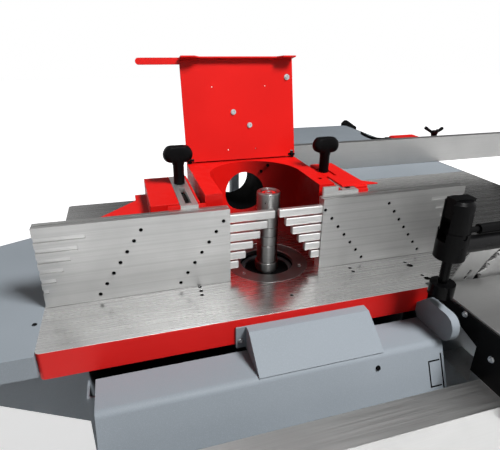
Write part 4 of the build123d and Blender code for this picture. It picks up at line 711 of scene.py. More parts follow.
# %% Screw, block and drill patterns
screw_heads = Pattern("screw_heads", head=0.004, height=0.003, sides=24, recess=0.002, washer=0.005,
                      plate=0.0008, finish=ZINC)
p = screw_heads
head_rod = p.rod(p["sides"], p["head"], p["height"])
recess_rod = p.rod(6, p["recess"], p["height"])
raised = [p.lifted(rod, reckon(p.tree, "ADD", p["plate"], p.times(p["height"], share)))
          for rod, share in ((head_rod, 0.5), (recess_rod, 0.95))]
head_cut = p.cut(*raised)
washer_rod = p.rod(24, p["washer"], p["plate"])
washer_up = p.lifted(washer_rod, p.times(p["plate"], 0.5))
both = p.tree.nodes.new("GeometryNodeJoinGeometry")
p.tree.links.new(head_cut, both.inputs[0])
p.tree.links.new(washer_up, both.inputs[0])
p.on_points(both.outputs[0])

small_blocks = Pattern("small_blocks", long=0.007, wide=0.0026, tall=0.0038, finish=ZINC)
p = small_blocks
wires = {"X": p["long"], "Y": p["wide"], "Z": p["tall"]}
block_size = p.node("ShaderNodeCombineXYZ", wires)[0]
p.on_points(p.node("GeometryNodeMeshCube", {"Size": block_size})["Mesh"])

drill_bits = Pattern("drill_bits", radius=0.003, depth=0.01, finish=ZINC)
p = drill_bits
p.on_points(p.rod(32, p["radius"], p.times(p["depth"], 2.0)))
print("patterns:", [group.name for group in bpy.data.node_groups])

# %% Screws
# Finish, head radius, height, sides, recess and washer radius of each kind of screw, in millimetres.
SCREWS = {
    "table": (OXIDE_AND_SHADE, 5.0, 4.0, 24, 2.6, 5.4),
    "insert": (ZINC, 4.6, 0.8, 24, 2.4, 4.8),
    "cap": (ZINC, 7.0, 2.6, 24, 4.2, 8.0),
    "mouth": (OXIDE_AND_SHADE, 3.4, 2.4, 24, 1.8, 3.8),
    "hinge": (OXIDE_AND_SHADE, 6.0, 3.6, 6, 2.0, 6.5),
    "lid": (ZINC, 4.4, 3.4, 24, 2.4, 6.0),
    "stop": (ZINC, 4.2, 4.5, 24, 2.4, 6.6),
    "ledge": (OXIDE_AND_SHADE, 3.6, 1.8, 24, 2.0, 4.6),
    "wedge": (ZINC, 3.4, 1.8, 24, 1.9, 5.0),
    "extension": (OXIDE_AND_SHADE, 3.4, 0.8, 24, 1.8, 4.2),
    "end cap": (ZINC, 4.2, 2.6, 24, 2.3, 5.6),
    "panel": (ZINC, 4.0, 2.2, 24, 2.2, 6.0),
}


def beside(facing):
    """A direction along the surface that faces this way."""
    return Vector(facing).orthogonal().normalized()


def screws(name, body, spots, facing, kind):
    """Screw heads of a kind on a surface; spots in millimetres."""
    finish, head, height, sides, recess, washer = SCREWS[kind]
    obj = spread_points(name, spots, facing, beside(facing))
    grown(obj, screw_heads, head=head / 1000, height=height / 1000, sides=sides, recess=recess / 1000,
          washer=washer / 1000, finish=finish)
    return stand_in(obj, body=body, slot="black_plastic" if finish == OXIDE_AND_SHADE else "bright_steel")


print("kinds of screw:", len(SCREWS))


# %% Drilling
def cut_away(obj, cutter):
    cut = obj.modifiers.new("cut", "BOOLEAN")
    cut.operation = "DIFFERENCE"
    cut.solver = "EXACT"
    cut.object = cutter
    settle(obj)
    bpy.data.objects.remove(cutter)
    return obj


def drilled(obj, spots, facing, radius, depth):
    """Real holes of a radius and depth, in millimetres, into a surface."""
    bits = spread_points("bits", spots, facing, beside(facing))
    return cut_away(obj, grown(bits, drill_bits, radius=radius / 1000, depth=depth / 1000))


print("drilling helper ready")

# %% [markdown]
# ## The cast table
# The casting is painted red round its skirt and ground bright on top, so its faces are sorted by height. It
# has tapped holes in front of the fences and two counterbored screws near the saw. They are drilled before
# the edges are rounded, so each rim gets its small chamfer.

# %% Table
TABLE_TOP, TABLE_EDGE = 880.0, 0.0009
TAP_RADIUS, TAP_DEPTH, BORE_RADIUS, BORE_DEPTH = 3.6, 11.0, 6.5, 7.0
tapped = [(3, -135), (156, -74), (156, -88), (-154, -62), (-154, -76), (-155, -90), (281, -84), (282.5, -139)]
bored = [(283, -98), (284.5, -152)]
GROUND_LOW, HOLE_LOW, HOLE_REACH, SAW_RECESS, INSERT_WELL = 0.8788, 0.866, 0.0075, 0.2685, 0.12


def in_a_hole(centre):
    """True inside the small holes of the table top."""
    near = any((centre.xy - Vector(spot) / 1000).length < HOLE_REACH for spot in tapped + bored)
    return HOLE_LOW < centre.z < GROUND_LOW and near


table = free_copy("main_table", "cast_table")
drilled(table, [(x, y, TABLE_TOP) for x, y in tapped], UP, TAP_RADIUS, TAP_DEPTH)
drilled(table, [(x, y, TABLE_TOP) for x, y in bored], UP, BORE_RADIUS, BORE_DEPTH)
painted(rounded(table, TABLE_EDGE), RED)
repaint(table, GROUND, lambda centre, normal: centre.z > GROUND_LOW)
repaint(table, IRON, lambda centre, normal: centre.z < GROUND_LOW and centre.x > SAW_RECESS)
# Painted shade: the walls of the well under the insert and of the small holes are painted black.
repaint(table, DUCT_BLACK_AND_SHADE, lambda centre, normal: centre.z < GROUND_LOW and centre.xy.length < INSERT_WELL)
repaint(table, OXIDE_AND_SHADE, lambda centre, normal: in_a_hole(centre))
stand_in(table, "main_table")
screws("table_screws", "machine", [(x, y, TABLE_TOP - BORE_DEPTH) for x, y in bored], UP, "table")
print("table holes:", len(tapped) + len(bored))

# %% Insert ring
RING = [(55, 872), (84.7, 872), (84.7, 879.8), (84.5, 880), (55.6, 880), (55, 879.4)]
insert = assembled("insert_ring", (turned_mesh(RING, ring=True, steps=128), RINGED))
stand_in(insert, "table_insert_ring")
SEAT_RADIUS, SEAT_LEVEL = 69.5, 879.1
thirds = round_turns(3, math.radians(90))
seats = [(SEAT_RADIUS * math.cos(a), SEAT_RADIUS * math.sin(a), SEAT_LEVEL) for a in thirds]
screws("insert_screws", "machine", seats, UP, "insert")
print("insert screws:", len(seats))

# %% [markdown]
# ## The spindle
# Spacing rings stand on a flange and a large cap holds them down. It is one turned profile: the joints
# between the rings are fine grooves. The pulley below has its belt grooves. The cap's recess shows a red
# disc round a socket screw, and one small hole in its side takes a pin.


# %% Spindle
def pulley(radius):
    """Profile of a belt pulley of seven grooves, from its foot to its upper rim."""
    profile = [(0, 505), (radius - 1, 505)]
    for low in (508.0 + 5.0 * groove for groove in range(7)):
        profile += [(radius, low), (radius, low + 1.4), (radius - 2.4, low + 2.5), (radius, low + 3.6)]
    return profile + [(radius, 544), (radius - 1, 545)]


RING_JOINTS = (885.0, 924.0, 945.0, 964.0, 992.0)
CAP_RADIUS, PIN_LEVEL, PIN_SIDE = 23.4, 1018.5, Vector((-0.554, -0.833, 0))
shaft = pulley(35) + [(17, 545), (17, 580), (20, 580), (20, 868), (23.4, 868), (24, 868.6), (24, 884.2),
                      (23.2, 885)]
for low, high in zip(RING_JOINTS, RING_JOINTS[1:]):
    shaft += [(19.5, low), (21, low + 1.0), (21, high - 1.0), (19.5, high)]
shaft += [(20.5, 992), (20.5, 999), (22.8, 999), (23.4, 999.6), (23.4, 1000.4), (22.9, 1000.9),
          (23.4, 1001.4), (23.4, 1004.4), (22.8, 1005), (23.4, 1005.6), (23.4, 1034.9), (22.3, 1036),
          (15.6, 1036), (15, 1035.4), (15, 1031), (0, 1031)]
spindle = assembled("turned_spindle", (turned_mesh(shaft, steps=128), TURNED))
drilled(spindle, [PIN_SIDE * CAP_RADIUS + Vector((0, 0, PIN_LEVEL))], PIN_SIDE, 1.8, 9.0)
stand_in(smooth(spindle, 28), "spindle_shaft")
DISC = [(0, 1031.0), (14.6, 1031.0), (14.6, 1032.0), (14.0, 1032.6), (0, 1032.6)]
disc = assembled("cap_disc", (turned_mesh(DISC, steps=64), RED))
stand_in(disc, body="spindle", slot="red_paint")
screws("cap_screw", "spindle", [(0, 0, 1032.4)], UP, "cap")
print("spindle profile points:", len(shaft))

# %% [markdown]
# ## Hood and lid
# The hood is welded sheet, painted red, with a round mouth for the cutter. A hole in its top takes the
# lid's stop screw when the lid is down. The lid stands open, so the camera sees its inside: four punched
# holes and three bolts. Points on the lid are found from its hinge, going up along the open sheet.

# %% Hood
STOP_X, STOP_Y, HOOD_TOP = 116.0, 16.0, 1048.0
HINGE = Vector((0, 193, 1054.5))
PORT_LEVEL, PORT_RADIUS = 0.975, 0.0472


def in_the_mouth(centre, normal):
    """The walls of the hood that look towards the spindle."""
    inward = normal.xy.dot(centre.xy) < -0.5 * centre.xy.length
    return abs(normal.z) < 0.4 and inward and centre.z < 1.0475


def in_the_port(centre, normal):
    reach = Vector((centre.x, centre.z - PORT_LEVEL)).length
    return centre.y > 0.15 and abs(normal.y) < 0.5 and reach < PORT_RADIUS


hood = drilled(free_copy("hood_shell", "welded_hood"), [(STOP_X, STOP_Y, HOOD_TOP)], UP, 4.8, 6.5)
painted(rounded(hood, SHEET_EDGE), RED)
# The walls of the mouth take the red with painted shade.
repaint(hood, RED_PAINTED_SHADE, in_the_mouth)
repaint(hood, DUCT_BLACK_AND_SHADE, in_the_port)
repaint(hood, OXIDE_AND_SHADE, lambda centre, normal: centre.z > 1.0492)
stand_in(hood, "hood_shell")
screws("mouth_bolts", "machine", [(54, 162.7, 1039.5), (40.5, 170.2, 1024)], (-0.5, -0.866, 0), "mouth")
ROD = [(0, -121), (5, -121), (5.4, -120.4), (5.4, -114), (2.4, -113.4), (2.4, 113.4), (5.4, 114),
       (5.4, 120.4), (5, 121), (0, 121)]
rod = assembled("hinge_rod", (turned_mesh(ROD, RIGHT, HINGE, steps=32), OXIDE_AND_SHADE))
stand_in(rod, body="machine", slot="black_plastic")
# A black rubber strip behind the gap under the lid, put there as painted shade so that the gap reads dark.
gap_shade_strip = assembled("lid_gap_shade_strip", (block_mesh((-112, 199.6, 1047.9), (112, 204.4, 1055), 0.8), RUBBER))
stand_in(gap_shade_strip, body="machine", slot="belt_rubber")
for name, x, facing in (("hinge_bolts_left", -126, LEFT), ("hinge_bolts_right", 126, RIGHT)):
    screws(name, "machine", [HINGE + Vector((x, 0, 0))], facing, "hinge")
print("hood reaches", HOOD_TOP, "mm")

# %% Lid
LID_OPEN = math.radians(102)
LID_UP = Vector((0, -math.cos(LID_OPEN), math.sin(LID_OPEN)))
LID_FACE = Vector((0, -math.sin(LID_OPEN), -math.cos(LID_OPEN)))
LID_SKIN = 4.5
PUNCHED = ((-62, 158.5), (62, 158.5), (-32.7, 18.8), (32.7, 18.8))


def on_lid(x, up):
    """A point on the open lid's inside, from the hinge's middle."""
    return HINGE + Vector((x, 0, 0)) + LID_UP * up + LID_FACE * LID_SKIN


lid = drilled(free_copy("lid", "open_lid"), [on_lid(x, up) for x, up in PUNCHED], LID_FACE, 1.3, 4.0)
stand_in(painted(rounded(lid, SHEET_EDGE), RED), "lid")
screws("lid_bolts", "lid", [on_lid(-16, 103), on_lid(21, 72.5)], LID_FACE, "lid")
screws("lid_stop", "lid", [on_lid(STOP_X, HINGE.y - STOP_Y)], LID_FACE, "stop")
print("lid leans", round(math.degrees(LID_OPEN) - 90, 1), "degrees back")

# %% [markdown]
# ## Fence carriers, slotted bars and knobs
# A red carrier on each side of the hood holds a planed steel bar, and a black knob clamps the bar. The foot
# of a bar is painted red beside the bare steel, so a line is cut into its faces where the paint ends. The
# knob's head is moulded, wide for the fingers and narrower above and below, so it is a small cage of points
# smoothed by subdivision, on a turned stem.

# %% Carriers and bars
DECK = 1.026
for node in ("left_carrier", "right_carrier"):
    carrier = painted(rounded(free_copy(node, node + "_sheet"), SHEET_EDGE), RED)
    repaint(carrier, BLACK, lambda centre, normal: normal.z > 0.9 and abs(centre.z - DECK) < 0.0004)
    stand_in(carrier, node)


def seam(obj, place, normal):
    """Cuts a line into a piece's faces, so that its two sides can have different finishes."""
    skin = bmesh.new()
    skin.from_mesh(obj.data)
    everything = [*skin.verts, *skin.edges, *skin.faces]
    bmesh.ops.bisect_plane(skin, geom=everything, plane_co=place, plane_no=normal)
    skin.to_mesh(obj.data)
    skin.free()


BAR_INNER, BAR_OUTER, FOOT_BACK = 0.146, 0.178, -0.03
for node, out in (("left_fence_bar", -1), ("right_fence_bar", 1)):
    bar = free_copy(node, node + "_planed")
    seam(bar, (0, FOOT_BACK, 0), BACK)
    for x in (BAR_INNER, BAR_OUTER):
        seam(bar, (x * out, 0, 0), RIGHT)
    painted(rounded(bar, BAR_EDGE), STEEL_Y)
    bare = BAR_INNER if out < 0 else 0.0
    repaint(bar, RED, lambda centre, normal: centre.y < FOOT_BACK + 0.0004
            and not bare < centre.x * out < BAR_OUTER)
    stand_in(bar, node)

slide = assembled("right_slot_slide", (block_mesh((147, 40, 1036.1), (177.5, 140, 1036.7), 0.2), RED))
stand_in(slide, body="right_fence", slot="red_paint")
print("carrier deck at", DECK, "m")

# %% Knobs
KNOB_X, KNOB_Y, KNOB_HEAD = 162.0, 92.0, 1081.0
HEAD_CAGE = [(0.0, 17.0, 11.0), (4.0, 27.0, 15.5), (14.0, 31.0, 17.2), (24.0, 29.0, 16.0), (31.5, 23.0, 13.0),
             (33.5, 19.0, 11.0)]
HEAD_OUTLINE = [(1, 0.55), (0.62, 1), (0, 0.72), (-0.62, 1), (-1, 0.55), (-1, -0.55), (-0.62, -1), (0, -0.72),
                (0.62, -1), (1, -0.55)]
STEM = [(0, 1036.2), (10.4, 1036.2), (11, 1036.8), (11, 1074), (13.5, 1084), (13.5, 1092), (0, 1092)]
STUD = [(0, 1009.5), (4.4, 1009.5), (5, 1010.2), (5, 1036.4), (0, 1036.4)]


def knob_head(x):
    """Moulded head: stacked rings, waisted in the middle, closed and subdivided."""
    rings = [[(x + a * long, KNOB_Y + b * wide, KNOB_HEAD + height) for a, b in HEAD_OUTLINE]
             for height, long, wide in HEAD_CAGE]
    obj = placed("knob_head", lofted_mesh(rings))
    soft = obj.modifiers.new("soft", "SUBSURF")
    soft.levels = soft.render_levels = 3
    mesh = settle(obj).data
    bpy.data.objects.remove(obj)
    return mesh


for side_name, x in (("left", -KNOB_X), ("right", KNOB_X)):
    stem = turned_mesh(STEM, place=(x, KNOB_Y, 0))
    stud = turned_mesh(STUD, place=(x, KNOB_Y, 0), steps=32)
    nut = block_mesh((x - 9, KNOB_Y - 9, 1009.5), (x + 9, KNOB_Y + 9, 1017.5), 0.8)
    parts = [(knob_head(x), BLACK), (stem, BLACK), (stud, ZINC), (nut, ZINC)]
    stand_in(assembled(side_name + "_clamp_knob", *parts), side_name + "_knob")
print("knob head points:", len(HEAD_CAGE) * len(HEAD_OUTLINE))

# %% [markdown]
# ## Fence plates and finger bars
# Each plate is a drawn aluminium section with six channels. The screws that hold the finger bars sit in two
# slanted rows, one above the next, because the fingers end at different lengths. The plate is drilled on
# those lines and a black set screw lies in every hole. Six shallow windows at the outer end run on from the
# fingers' tails.

# %% Set screws
FENCE_FACE = -58.0
HOLE_LEVELS = [TABLE_TOP + 12.6 + 19.25 * k for k in range(7)]
HOLE_ROWS = {"left": ((-330.6, -250.8), (-188.3, -105.2)), "right": ((189.8, 97.2), (327.2, 238.8))}


def slanted(low, high):
    """Seven spots of a row, from the X of its lowest hole to that of its highest."""
    return [(low + (high - low) * k / 6, FENCE_FACE, z) for k, z in enumerate(HOLE_LEVELS)]


set_screws = Pattern("set_screws", radius=0.0033, depth=0.003, recess=0.0016, finish=OXIDE_AND_SHADE)
p = set_screws
stub = p.rod(24, p["radius"], p["depth"])
hexagon = p.lifted(p.rod(6, p["recess"], p["depth"]), p.times(p["depth"], 0.5))
p.on_points(p.cut(stub, hexagon))
print("set screws:", 2 * 2 * len(HOLE_LEVELS))

# %% Plates and fingers
SCREW_SUNK, FLOOR_NEAR, FLOOR_FAR, FLOOR_TALL, FLOOR_SHORT = 2.6, 2.9, 3.8, 4.0, 0.5
for side_name, rows in HOLE_ROWS.items():
    node, body = side_name + "_fence_plate", side_name + "_plate"
    spots = [spot for row in rows for spot in slanted(*row)]
    plate = drilled(free_copy(node, side_name + "_plate_drilled"), spots, FRONT, 3.5, 3.6)
    plate_low, plate_high = corners(node)
    stand_in(painted(rounded(plate, BAR_EDGE), PLATE), node)
    sunk = [(x, y + SCREW_SUNK, z) for x, y, z in spots]
    sunk = grown(spread_points(side_name + "_set_screws", sunk, FRONT, RIGHT), set_screws, finish=OXIDE_AND_SHADE)
    stand_in(sunk, body=body, slot="black_plastic")
    floors = []
    for row in range(1, 7):
        node = f"{side_name}_finger_{row}"
        low, high = corners(node)
        stand_in(assembled(node + "_bar", (block_mesh(low, high, 2.4, 3), MILLED)), node)
        left, right = low.x, plate_low.x + FLOOR_SHORT
        if side_name == "right":
            left, right = high.x, plate_high.x - FLOOR_SHORT
        left, right = sorted((left, right))
        level = (low.z + high.z) / 2
        near = (left, FENCE_FACE + FLOOR_NEAR, level - FLOOR_TALL)
        far = (right, FENCE_FACE + FLOOR_FAR, level + FLOOR_TALL)
        floors.append((block_mesh(near, far, 0.2), MILLED))
    stand_in(assembled(side_name + "_window_floors", *floors), body=body, slot="plate_aluminium")
    print(side_name, "plate from", round(plate_low.x), "to", round(plate_high.x), "mm")

# %% [markdown]
# ## Front covers and extension tables
# These are folded steel sheet under grey powder paint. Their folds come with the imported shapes, so most of
# them only need edges, paint and a few screws. The ledge cover has a small flap near its right end, marked
# off by narrow slots. A slot is cut by a thin block that lies in the cover's sloping face.

# %% Plain sheet pieces
for node in ("wedge_cover", "end_bracket", "left_extension", "rear_extension"):
    edged(node, GREY, SHEET_EDGE)
print("plain sheet pieces painted")

# %% Ledge cover
SLOPE_TOP, SLOPE_FOOT = Vector((0, -259, 820)), Vector((0, -313, 704))
DOWN_SLOPE = (SLOPE_FOOT - SLOPE_TOP).normalized()
OFF_SLOPE = DOWN_SLOPE.cross(Vector(RIGHT))
SLOT_WIDE, SLOT_DEEP = 2.4, 1.8
FLAP_LEFT, FLAP_RIGHT, FLAP_HIGH, FLAP_LOW = 211.8, 235.4, 31.8, 79.2
INNER_LEFT, INNER_HIGH, INNER_LOW = FLAP_LEFT + SLOT_WIDE, FLAP_HIGH + SLOT_WIDE, FLAP_LOW - SLOT_WIDE
FLAP_SLOT = [(FLAP_RIGHT, FLAP_HIGH), (FLAP_LEFT, FLAP_HIGH), (FLAP_LEFT, FLAP_LOW), (FLAP_RIGHT, FLAP_LOW),
             (FLAP_RIGHT, INNER_LOW), (INNER_LEFT, INNER_LOW), (INNER_LEFT, INNER_HIGH),
             (FLAP_RIGHT, INNER_HIGH)]
EDGE_LEFT, EDGE_RIGHT, EDGE_HIGH, EDGE_LOW = 237.8, 237.8 + SLOT_WIDE, 21.8, 85.2
EDGE_SLOT = [(EDGE_RIGHT, EDGE_HIGH), (EDGE_LEFT, EDGE_HIGH), (EDGE_LEFT, EDGE_LOW), (EDGE_RIGHT, EDGE_LOW)]


def on_slope(x, down):
    """A point of the ledge cover's sloping face."""
    return SLOPE_TOP + Vector((x, 0, 0)) + DOWN_SLOPE * down


def slotted(obj, outline):
    """Cuts a slot into the sloping face; its outline goes anticlockwise, seen from outside."""
    rings = [[on_slope(*spot) + OFF_SLOPE * out for spot in outline] for out in (-SLOT_DEEP, SLOT_DEEP)]
    return cut_away(obj, placed("slot_cutter", lofted_mesh(rings)))


def in_a_slot(centre, normal):
    sunk = (SLOPE_TOP - centre * 1000).dot(OFF_SLOPE)
    return 0.2 < sunk < SLOT_DEEP + 0.2 and FLAP_LEFT - 1.8 < centre.x * 1000 < EDGE_RIGHT + 1.8


ledge = free_copy("ledge_cover", "ledge_cover_edged")
for outline in (FLAP_SLOT, EDGE_SLOT):
    slotted(ledge, outline)
painted(rounded(ledge, SHEET_EDGE), GREY)
# The slots' walls are painted black as painted shade.
stand_in(repaint(ledge, DUCT_BLACK_AND_SHADE, in_a_slot), "ledge_cover")
screws("ledge_screw", "machine", [on_slope(112, 24)], OFF_SLOPE, "ledge")
screws("wedge_screws", "machine", [(-108, -182.5, 838)], FRONT, "wedge")
screws("extension_screw", "machine", [(-434, -102, 879.3)], UP, "extension")
print("cover slopes over", round((SLOPE_FOOT - SLOPE_TOP).length), "mm")

# %% [markdown]
# ## Saw blade and riving knife
# The blade's plate comes with its gullets. Each tooth gets a dark carbide tip, one shape repeated round a
# circle. The knife has a long hole for its clamp bolt, made by drilling one hole after the other along a
# short line.

# %% Saw
SAW_X, SAW_Z, BLADE_Y = 524.0, 807.0, -172.0
TEETH, TIP_RADIUS = 36, 153.4
edged("saw_blade", BLADE, BLADE_EDGE)
saw_axis = Vector((SAW_X, 0, SAW_Z)) / 1000
rim_points = [(v.co - saw_axis).xz for v in nodes["saw_blade"].data.vertices]
outermost = max(rim_points, key=lambda reach: reach.length)
first_tooth = math.atan2(outermost.y, outermost.x)
rays_out = [Vector((math.cos(a), 0, math.sin(a))) for a in round_turns(TEETH, first_tooth)]
spots = [Vector((SAW_X, BLADE_Y, SAW_Z)) + out * TIP_RADIUS for out in rays_out]
tips = spread_points("tooth_tips", spots, FRONT, rays_out)
grown(tips, small_blocks, long=0.007, wide=0.0026, tall=0.0038, finish=CARBIDE)
stand_in(tips, body="saw_spin", slot="bright_steel")

KNIFE_FACE, HOLE_START, HOLE_RUN = BLADE_Y - 1.2, (356.6, 881.0), (9.2, 13.8)
knife = free_copy("riving_knife", "slotted_knife")
for share in (0, 0.2, 0.4, 0.6, 0.8, 1.0):
    x, z = (start + run * share for start, run in zip(HOLE_START, HOLE_RUN))
    drilled(knife, [(x, KNIFE_FACE, z)], FRONT, 3.8, 4.0)
stand_in(painted(rounded(knife, BLADE_EDGE), KNIFE), "riving_knife")
edged("saw_arbor", TURNED, BAR_EDGE)
for node in ("saw_arm", "saw_bracket"):
    edged(node, IRON, CAST_EDGE)
print("first tooth at", round(math.degrees(first_tooth), 1), "degrees")

# %% [markdown]
# ## Sliding table and clamp
# The table runs on an aluminium beam and ends in black caps, each held by two bolts. The bolts of the far
# cap are sunk, so that nothing stands past it. The clamp has a black body, a plunger with a pad and a
# lever; the arm that carries it is blued steel, so that piece has two finishes.

# %% Sliding table and clamp
edged("sliding_table", ALUMINIUM, BAR_EDGE)
edged("slide_beam", ALUMINIUM, SHEET_EDGE)
CAP_NEAR, CAP_FAR, BOLT_SEAT = 280.6, 1538.6, 3.5
CAP_BOLTS = ((-262, 871), (-333, 830))
ARM_START, ARM_END = 0.278, 0.61
caps = free_copy("slide_end_caps", "moulded_end_caps")
drilled(caps, [(CAP_FAR, y, z) for y, z in CAP_BOLTS], RIGHT, 6.4, BOLT_SEAT)
stand_in(painted(rounded(caps, SHEET_EDGE), BLACK), "slide_end_caps")
for name, x, facing in (("end_cap_bolts", CAP_NEAR, LEFT), ("far_cap_bolts", CAP_FAR - BOLT_SEAT, RIGHT)):
    screws(name, "slider", [(x, y, z) for y, z in CAP_BOLTS], facing, "end cap")
post = painted(rounded(free_copy("clamp_post", "clamp_arm_and_body"), CAST_EDGE, 3), BLACK)
repaint(post, BLUED, lambda centre, normal: ARM_START < centre.x < ARM_END)
stand_in(post, "clamp_post")
edged("clamp_plunger", OXIDE_AND_SHADE, BAR_EDGE)
edged("clamp_lever", BLACK, BAR_EDGE)
print("sliding table dressed")

# %% [markdown]
# ## Rip fence
# A drawn aluminium plate on a red cast head, which slides along a dark round bar. The three-armed knob and
# the bent handle are black plastic.

# %% Rip fence
edged("rip_fence_plate", ALUMINIUM, BAR_EDGE)
edged("rip_fence_head", RED, CAST_EDGE)
edged("rip_rail", OXIDE_AND_SHADE, BAR_EDGE)
RIP_KNOB, ARM_LEVEL, ARM_LEAN = Vector((928, 665, 934)), 32.0, math.radians(28)
RIP_HUB = [(0, 0), (12.4, 0), (13, 0.8), (13, 4), (11, 8), (10.5, 24), (12.6, 32), (13.4, 38), (12, 43),
           (8, 45.6), (0, 46)]
RIP_ARM = [(0, 0), (5.4, 0), (5.6, 22), (6.8, 38), (6.6, 42), (4.6, 45.2), (0, 46)]
star = [(turned_mesh(RIP_HUB, place=RIP_KNOB, steps=48), BLACK)]
for a in round_turns(3, math.radians(5)):
    out = (math.cos(a) * math.cos(ARM_LEAN), math.sin(a) * math.cos(ARM_LEAN), math.sin(ARM_LEAN))
    star.append((turned_mesh(RIP_ARM, out, RIP_KNOB + Vector((0, 0, ARM_LEVEL)), steps=40), BLACK))
foot = corners("rip_fence_knob")[0].z - RIP_KNOB.z
RIP_STUD = [(0, foot), (4.4, foot), (5, foot + 0.6), (5, 0.4), (0, 0.4)]
star.append((turned_mesh(RIP_STUD, place=RIP_KNOB, steps=32), ZINC))
stand_in(assembled("star_knob", *star), "rip_fence_knob")
edged("rip_fence_handle", BLACK, CAST_EDGE)
print("rip fence dressed")

# %% [markdown]
# ## Cabinet
# The base is a box of painted panels. Panels are screwed along their edges, and the motors need air, so the
# back has banks of pressed louvres and each end has a service door with hinges, a latch and louvres of its
# own. A louvre is a flat arc run along a line; its underside stands for the opening and is painted
# black, as painted shade.

# %% Cabinet back and front
edged("cabinet", GREY, SHEET_EDGE)
louvres = Pattern("louvres", width=0.15, radius=0.01, finish=GREY)
p = louvres
reach = p.times(p["width"], 0.5)
start = p.node("ShaderNodeCombineXYZ", {"X": p.times(reach, -1.0)})[0]
end = p.node("ShaderNodeCombineXYZ", {"X": reach})[0]
path = p.node("GeometryNodeCurvePrimitiveLine", {"Start": start, "End": end})[0]
wires = {"Resolution": 9, "Radius": p["radius"], "Start Angle": math.radians(240),
         "Sweep Angle": math.radians(120), "Connect Center": True}
bow = p.node("GeometryNodeCurveArc", wires)[0]
wires = {"Curve": path, "Profile Curve": bow, "Fill Caps": True}
p.on_points(p.node("GeometryNodeCurveToMesh", wires)[0])
LOUVRE_WIDTH, LOUVRE_PITCH = 0.26, 26.0


def louvre_bank(name, foot, count, facing, along):
    """A stack of louvres going up from a foot in millimetres."""
    spots = [Vector(foot) + Vector((0, 0, LOUVRE_PITCH * k)) for k in range(count)]
    bank = grown(spread_points(name, spots, facing, along), louvres, width=LOUVRE_WIDTH, finish=GREY)
    # The underside stands for the louvre's opening: painted black as painted shade.
    repaint(bank, DUCT_BLACK_AND_SHADE, lambda centre, normal: normal.z < -0.7)
    return stand_in(bank, body="machine", slot="grey_paint")


PANEL_BACK, PANEL_FRONT, PANEL_EDGES = 420.0, -205.0, (-345, 218, 242, 825)
for name, x in (("back_louvres_left", -65.0), ("back_louvres_right", 534.0)):
    louvre_bank(name, (x, PANEL_BACK, 180), 9, BACK, RIGHT)
back_spots = [(x, PANEL_BACK, z) for x in PANEL_EDGES for z in (60, 250, 440, 630, 800)]
screws("back_screws", "machine", back_spots, BACK, "panel")
front_spots = [(x, PANEL_FRONT, z) for x in PANEL_EDGES for z in (60, 200, 330)]
screws("front_screws", "machine", front_spots, FRONT, "panel")
print("cabinet screws:", len(back_spots) + len(front_spots))

# %% Service doors
DOOR_FRONT, DOOR_BACK, DOOR_LOW, DOOR_HIGH, DOOR_THICK = -130, 345, 120, 690, 2.5
LATCH = [(0, 0), (17, 0), (17, 4), (15.5, 6), (14, 6.5), (14, 15), (12.5, 17), (0, 17)]
LATCH_Y, LATCH_LEVEL = DOOR_FRONT + 40, 405
PIN = [(0, -32), (5.4, -32), (6, -31.4), (6, 31.4), (5.4, 32), (0, 32)]
for name, x, out in (("left", -360.0, -1), ("right", 840.0, 1)):
    face = x + DOOR_THICK * out
    near, far = sorted((x, face))
    door = block_mesh((near, DOOR_FRONT, DOOR_LOW), (far, DOOR_BACK, DOOR_HIGH), 1.1)
    latch = turned_mesh(LATCH, (out, 0, 0), (face, LATCH_Y, LATCH_LEVEL), steps=40)
    near, far = sorted((x + 18 * out, x + 26 * out))
    grip = block_mesh((near, LATCH_Y - 4, LATCH_LEVEL - 14), (far, LATCH_Y + 4, LATCH_LEVEL + 14), 1.5)
    pins = [turned_mesh(PIN, place=(x + 3 * out, DOOR_BACK + 6, z), steps=32) for z in (200, 610)]
    parts = [(door, GREY), (latch, BLACK), (grip, BLACK), *[(pin, ZINC) for pin in pins]]
    stand_in(assembled(name + "_service_door", *parts), body="machine", slot="grey_paint")
    louvre_bank(name + "_door_louvres", (face, 130, 200), 6, (out, 0, 0), (0, -out, 0))
print("service doors hung")

# %% [markdown]
# ## Handwheels
# Each wheel has a round rim, three spokes, a hub and a turning grip. The rim is a circle turned about the
# hub's axis, the spokes are tapered rods, and the grip has the swelling that fits a palm. A ring of marks
# on the panel shows how far the wheel has gone.

